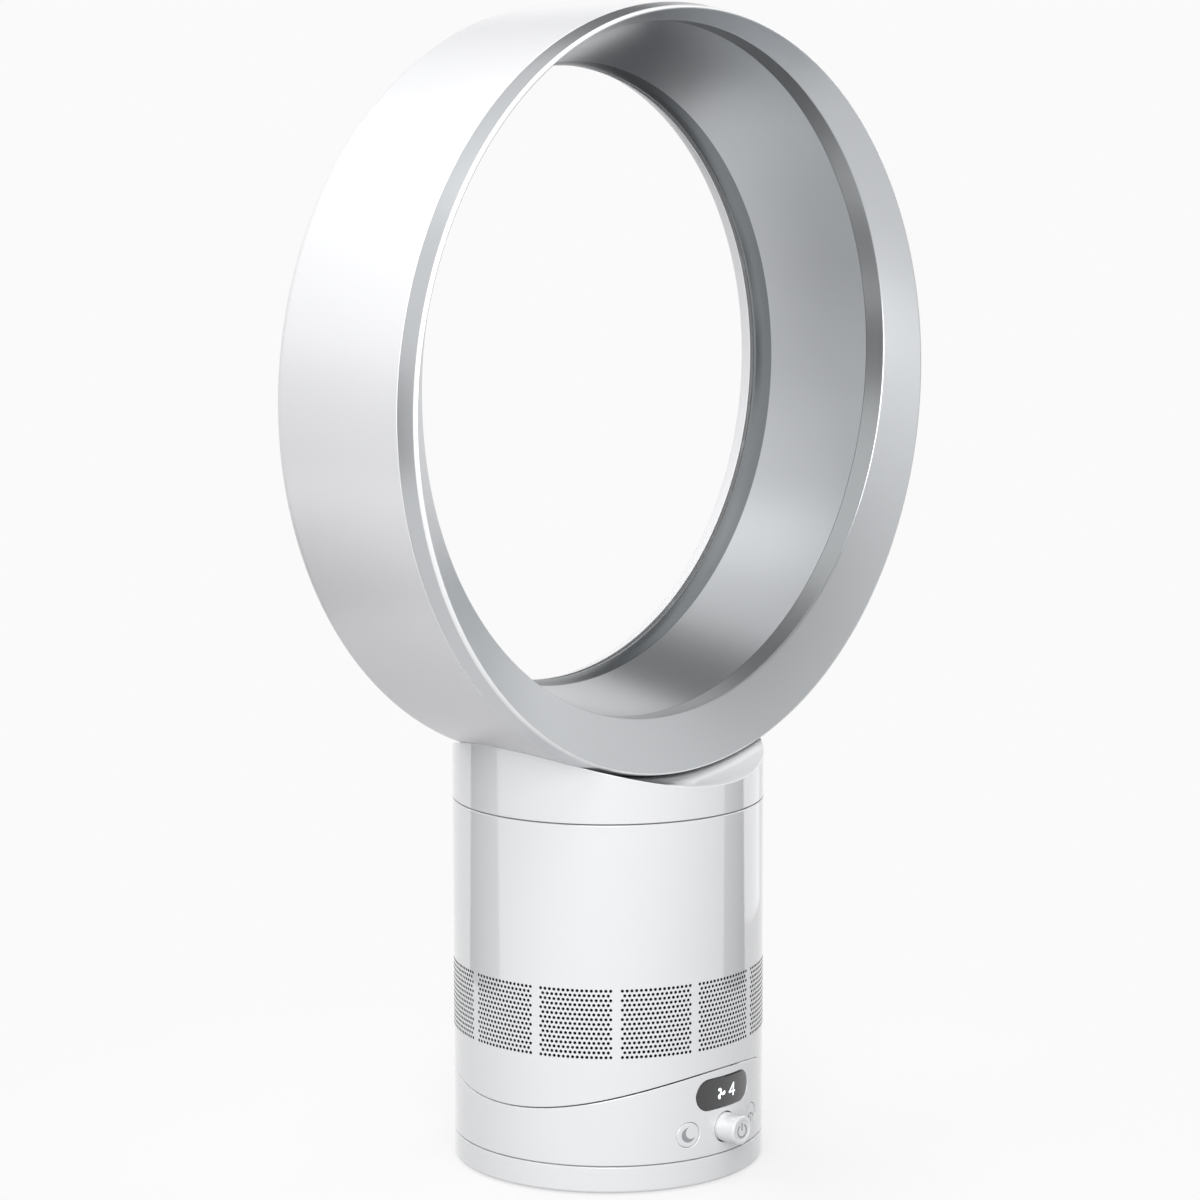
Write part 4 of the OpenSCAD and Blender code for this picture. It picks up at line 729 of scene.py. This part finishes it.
def button(side):
    """Round button whose face follows the casing, with a rounded edge."""
    x0 = side * BUTTON_X
    rings = []
    steps = [(0.0, 0.0), (1.6, 0.0), (3.2, 0.0), (4.3, 0.0), (4.65, 0.02), (4.85, 0.1), (4.97, 0.22), (BUTTON_R, 0.4),
             (BUTTON_R, 2.28), (RIM_R, 2.28)]
    for g, d in steps:
        rings.append([(x0 + g * sin(t), -sqrt((R - 0.12 - d) ** 2 - (x0 + g * sin(t)) ** 2), CONTROL_Z + g * cos(t))
                      for t in full_turn(64)])
    back = [(x0 + RIM_R * sin(t), BUTTON_BACK, CONTROL_Z + RIM_R * cos(t)) for t in full_turn(64)]
    shut = [(x0, BUTTON_BACK, CONTROL_Z)] * 64
    rings += [back, shut]
    return join(*[bridge(a, b) for a, b in zip(rings, rings[1:])])


piece("sleep_timer_cap", *button(-1), WHITE, "sleep_button", "gloss_white", ["sleep_timer_button"], sharp=60)
piece("oscillation_cap", *button(1), WHITE, "swing_button", "gloss_white", ["oscillation_button"], sharp=60)


def lens():
    """Window pane that follows the casing, with a rounded edge."""
    steps = [(-k, 0.0) for k in (DISPLAY_H / 2, 5.0, 3.5, 2.0, 0.8)]
    steps += [(-0.35, 0.03), (-0.12, 0.12), (0.0, 0.3), (0.0, 3.3), (-DISPLAY_H / 2, 3.3)]
    rings = [[(u, -sqrt((R - 0.1 - d) ** 2 - u * u), v) for u, v in pill(DISPLAY_W, DISPLAY_H, 0, DISPLAY_Z, g)]
             for g, d in steps]
    return join(*[bridge(a, b) for a, b in zip(rings, rings[1:])])


piece("display_pane", *lens(), BLACK_GLASS, "control_base", "lens_black", ["display_lens"], sharp=60)


# Printed and lit signs

def stroke(points, width, steps=6):
    """Outline of a line with round ends."""
    p = [Vector(q) for q in points]
    half = width / 2
    left, right = [], []
    for i, q in enumerate(p):
        d = (p[min(i + 1, len(p) - 1)] - p[max(i - 1, 0)]).normalized()
        side = Vector((-d.y, d.x)) * half
        left.append(q + side)
        right.append(q - side)

    def cap(end, before):
        way = (end - before).normalized()
        a = atan2(way.y, way.x)
        turns = [a + pi / 2 - pi * k / steps for k in range(1, steps)]
        return [(end.x + half * cos(t), end.y + half * sin(t)) for t in turns]

    return [tuple(q) for q in left] + cap(p[-1], p[-2]) + [tuple(q) for q in reversed(right)] + cap(p[0], p[1])


def within(outline, u, v):
    hit = False
    for (x0, y0), (x1, y1) in zip(outline, outline[1:] + outline[:1]):
        if (y0 > v) != (y1 > v) and u < (x1 - x0) * (v - y0) / (y1 - y0) + x0:
            hit = not hit
    return hit


def sign(name, outlines, place, material, body, slot, lift=0.03, root=0.25):
    """Thin closed shape over the joined outlines; place(u, v, lift) puts a point on its surface."""
    points, edges = [], []
    for outline in outlines:
        base = len(points)
        points += [Vector(p) for p in outline]
        edges += [(base + i, base + (i + 1) % len(outline)) for i in range(len(outline))]
    flat, _, triangles = delaunay_2d_cdt(points, edges, [], 0, 1e-6, False)[:3]
    kept = []
    for tri in triangles:
        u, v = (sum(flat[i][k] for i in tri) / 3 for k in (0, 1))
        if any(within(outline, u, v) for outline in outlines):
            kept.append(tuple(tri))
    n = len(flat)
    sides = {}
    for tri in kept:
        for e in zip(tri, tri[1:] + tri[:1]):
            sides[tuple(sorted(e))] = sides.get(tuple(sorted(e)), 0) + 1
    faces = kept + [tuple(i + n for i in reversed(tri)) for tri in kept]
    faces += [(a, b, b + n, a + n) for (a, b), count in sides.items() if count == 1]
    verts = [place(p.x, p.y, lift) for p in flat] + [place(p.x, p.y, -root) for p in flat]
    return piece(name, verts, faces, material, body, slot, weld=0.00001, weighted=False)


def on_casing(x0, z0, sink):
    return lambda u, v, lift: (x0 + u, -sqrt((R - sink + lift) ** 2 - (x0 + u) ** 2), z0 + v)


def crescent(r=3.05, bite=2.55, shift=(1.3, 0.85)):
    outline = [(r * cos(radians(a)), r * sin(radians(a))) for a in range(82, 345, 8)]
    a0 = atan2(outline[-1][1] - shift[1], outline[-1][0] - shift[0])
    a1 = atan2(outline[0][1] - shift[1], outline[0][0] - shift[0])
    if a1 > a0:
        a0 += 2 * pi
    inner_pts = [(shift[0] + bite * cos(a0 + (a1 - a0) * k / 30), shift[1] + bite * sin(a0 + (a1 - a0) * k / 30))
                 for k in range(1, 30)]
    return outline + inner_pts


sign("moon_sign", [crescent()], on_casing(-BUTTON_X, CONTROL_Z, 0.12), PRINT, "sleep_button", "gloss_white")
turn_arc = [(2.5 * sin(radians(a)), -1.1 + 2.5 * cos(radians(a)) * 0.75) for a in range(-62, 63, 6)]
arrows = [stroke(turn_arc, 0.5)]
for s in (-1, 1):
    end = (s * 2.2, -0.23)
    arrows.append([(end[0] + s * 0.15, end[1] - 0.85), (end[0] + s * 0.55, end[1] + 0.55),
                   (end[0] - s * 0.85, end[1] - 0.1)])
arrows.append(stroke([(0, -2.3), (0, -0.6)], 0.55))
sign("oscillation_sign", arrows, on_casing(BUTTON_X, CONTROL_Z, 0.12), PRINT, "swing_button", "gloss_white")

on_dial = lambda u, v, lift: (u, -KNOB_Y + 0.3 - lift, CONTROL_Z + v)
power_arc = [(2.6 * sin(radians(a)), -0.2 + 2.6 * cos(radians(a))) for a in range(36, 325, 8)]
power = [stroke(power_arc, 0.75), stroke([(0, 0.2), (0, 2.95)], 0.75)]
sign("power_sign", power, on_dial, PRINT, "dial", "gloss_white")


def blade(turn):
    pts = [(0.25, 0.1), (0.7, 0.75), (0.75, 1.6), (0.25, 2.35), (-0.55, 2.5), (-1.05, 2.0), (-0.85, 1.45),
           (-0.35, 1.1), (-0.3, 0.4)]
    c, s = cos(radians(turn)), sin(radians(turn))
    curve = smooth(pts + [pts[0]], 3)[:-1]
    return [(x * c - y * s, x * s + y * c) for x, y in curve]


hub = [(0.5 * cos(t), 0.5 * sin(t)) for t in full_turn(16)]
fan = [blade(t) for t in (20, 140, 260)] + [hub]
sign("fan_sign", fan, on_casing(-2.7, DISPLAY_Z - 0.4, 0.1), LIT, "control_base", "lens_black")
four = [stroke([(1.1, 2.4), (-1.75, -0.9)], 0.7), stroke([(-1.75, -0.95), (1.75, -0.95)], 0.7),
        stroke([(1.1, 2.4), (0.75, -2.4)], 0.75)]
sign("speed_sign", four, on_casing(4.1, DISPLAY_Z - 0.1, 0.1), LIT, "control_base", "lens_black")


# Pin in the power inlet
pin_outline = rounded([(0.0, 54.2, 0), (1.0, 54.2, 0), (1.0, 61.6, 0.5), (0.0, 61.6, 0)])
piece("inlet_pin", *lathe_y(pin_outline, 0, JACK_Z, 32), STEEL, "foot", "spring_steel")


# Camera, as the photograph was taken
CAMERA_AT = (-1.13857, -1.02698, 0.46091)
FOCAL_PX, PHOTO_PX, SENSOR = 3825.83, 1200, 36


def aim():
    yaw, pitch, roll = -0.83488, 0.1495, -0.00204
    d = Vector((-sin(yaw) * cos(pitch), cos(yaw) * cos(pitch), -sin(pitch)))
    r = Vector((cos(yaw), sin(yaw), 0))
    u = r.cross(d)
    right = r * cos(roll) + u * sin(roll)
    up = -r * sin(roll) + u * cos(roll)
    m = Matrix((right, up, -d)).transposed().to_4x4()
    m.translation = Vector(CAMERA_AT)
    return m


camera = bpy.data.objects.new("camera", bpy.data.cameras.new("camera"))
camera.data.sensor_width = SENSOR
camera.data.lens = FOCAL_PX * SENSOR / PHOTO_PX
camera.data.clip_start = 0.05
camera.data.clip_end = 50
camera.matrix_world = aim()
scene.collection.objects.link(camera)
scene.camera = camera


# Plain pale studio
BACK = 0.955


def backdrop_color(n):
    """One for what the camera and the reflections see."""
    rays = n.add("LightPath")
    seen = n.add("Math", {0: rays.outputs["Is Camera Ray"], 1: rays.outputs["Is Glossy Ray"]}, operation="MAXIMUM")
    seen = n.add("Math", {0: seen.outputs[0], 1: rays.outputs["Is Transmission Ray"]}, operation="MAXIMUM")
    return seen.outputs[0]


world = bpy.data.worlds.new("studio")
scene.world = world
world.use_nodes = True
n = Nodes(world.node_tree)
seen = backdrop_color(n)
room = n.add("Background", {"Color": (0.97, 0.98, 1.0, 1), "Strength": 0.32})
white = n.add("Background", {"Color": (BACK, BACK, BACK, 1), "Strength": 1.0})
both = n.add("MixShader", {0: seen, 1: room.outputs[0], 2: white.outputs[0]})
n.add("OutputWorld", {"Surface": both.outputs[0]})


def floor_material():
    """White paper that keeps a light shadow of the object, and less bright where it lights the object."""
    mat, n = node_material("floor_paper")
    seen = backdrop_color(n)
    at = n.add("NewGeometry").outputs["Position"]
    far = n.add("VectorMath", {0: at}, operation="LENGTH").outputs["Value"]
    fade = n.add("MapRange", {"Value": far, "From Min": 0.09, "From Max": 0.30, "To Min": 0.72, "To Max": 1.0},
                 interpolation_type="SMOOTHSTEP")
    paper = n.add("BsdfDiffuse", {"Color": (0.9, 0.9, 0.9, 1)})
    bright = n.add("Emission", {"Color": (BACK, BACK, BACK, 1), "Strength": 1.0})
    shown = n.add("MixShader", {0: fade.outputs["Result"], 1: paper.outputs[0], 2: bright.outputs[0]})
    dim = n.add("BsdfDiffuse", {"Color": (0.24, 0.24, 0.25, 1)})
    both = n.add("MixShader", {0: seen, 1: dim.outputs[0], 2: shown.outputs[0]})
    n.add("OutputMaterial", {"Surface": both.outputs[0]})
    return mat


def stage(name, verts, material):
    mesh = bpy.data.meshes.new(name)
    mesh.from_pydata(verts, [], [tuple(range(len(verts)))])
    mesh.materials.append(material)
    obj = bpy.data.objects.new(name, mesh)
    scene.collection.objects.link(obj)
    return obj


FLOOR_R = 12
stage("floor", [(FLOOR_R * cos(t), FLOOR_R * sin(t), 0) for t in full_turn(64)], floor_material())

MIDDLE = Vector((0, 0, 0.3))


def facing(azimuth, height, distance, flat=False):
    """Place at an azimuth to the right of the camera's and an elevation, both in degrees, turned to the middle."""
    a, e = atan2(CAMERA_AT[1], CAMERA_AT[0]) + radians(azimuth), radians(height)
    way = Vector((cos(e) * cos(a), cos(e) * sin(a), sin(e)))
    turned = Matrix.Rotation(a + pi / 2, 4, "Z") if flat else way.to_track_quat("Z", "Y").to_matrix().to_4x4()
    return Matrix.Translation(MIDDLE + way * distance) @ turned


def lamp(name, azimuth, height, distance, size, level, glossy=False):
    light = bpy.data.lights.new(name, "AREA")
    light.shape = "RECTANGLE"
    light.size, light.size_y = size
    light.energy = level * pi * size[0] * size[1]
    obj = bpy.data.objects.new(name, light)
    obj.matrix_world = facing(azimuth, height, distance)
    obj.visible_camera = False
    obj.visible_glossy = glossy
    scene.collection.objects.link(obj)


def card(name, place, size, tone=0.0):
    """Card that only reflections show, dark or with a tone of its own."""
    mat, n = node_material(name)
    paper = n.add("BsdfDiffuse", {"Color": (0.04, 0.04, 0.045, 1)})
    shine = n.add("Emission", {"Color": (tone, tone, tone, 1), "Strength": 1.0})
    both = n.add("AddShader", {0: paper.outputs[0], 1: shine.outputs[0]})
    n.add("OutputMaterial", {"Surface": both.outputs[0]})
    w, h = size[0] / 2, size[1] / 2
    obj = stage(name, [(-w, -h, 0), (w, -h, 0), (w, h, 0), (-w, h, 0)], mat)
    obj.matrix_world = place
    obj.visible_camera = obj.visible_diffuse = obj.visible_shadow = False


lamp("key", -3, 12, 1.3, (0.8, 1.1), 5.0, True)
lamp("front_top", 12, 60, 1.3, (0.8, 0.6), 2.35)
lamp("left_top", -76, 46, 1.4, (1.2, 0.9), 1.1)
lamp("top", 175, 84, 1.3, (1.5, 1.1), 1.35)
lamp("rear_right", 140, 20, 1.3, (0.6, 0.5), 1.3, True)
lamp("right_fill", 125, 18, 1.4, (0.8, 0.8), 1.1)
lamp("rear_left", -142, 24, 1.4, (1.0, 0.8), 2.6)
lamp("left_shine", -62, 56, 1.4, (0.7, 0.6), 0.5, True)
card("left_card", facing(-80, -4, 0.8), (0.5, 0.32))
card("left_low_card", facing(-98, -32, 0.45), (0.22, 0.16))
card("right_low_card", facing(100, -32, 0.45), (0.16, 0.16))
card("rear_card", facing(-172, 46, 0.9), (1.0, 0.5))
card("right_card", facing(66, 46, 0.9), (1.0, 0.7))
card("rear_grey_card", facing(162, -3, 0.9), (0.44, 0.42), 0.9)
card("right_bright_card", facing(124, -28, 0.5), (0.3, 0.12), 1.35)
card("rear_low_card", facing(180, -20, 0.36, flat=True), (0.36, 0.4))

scene.view_settings.view_transform = "Standard"
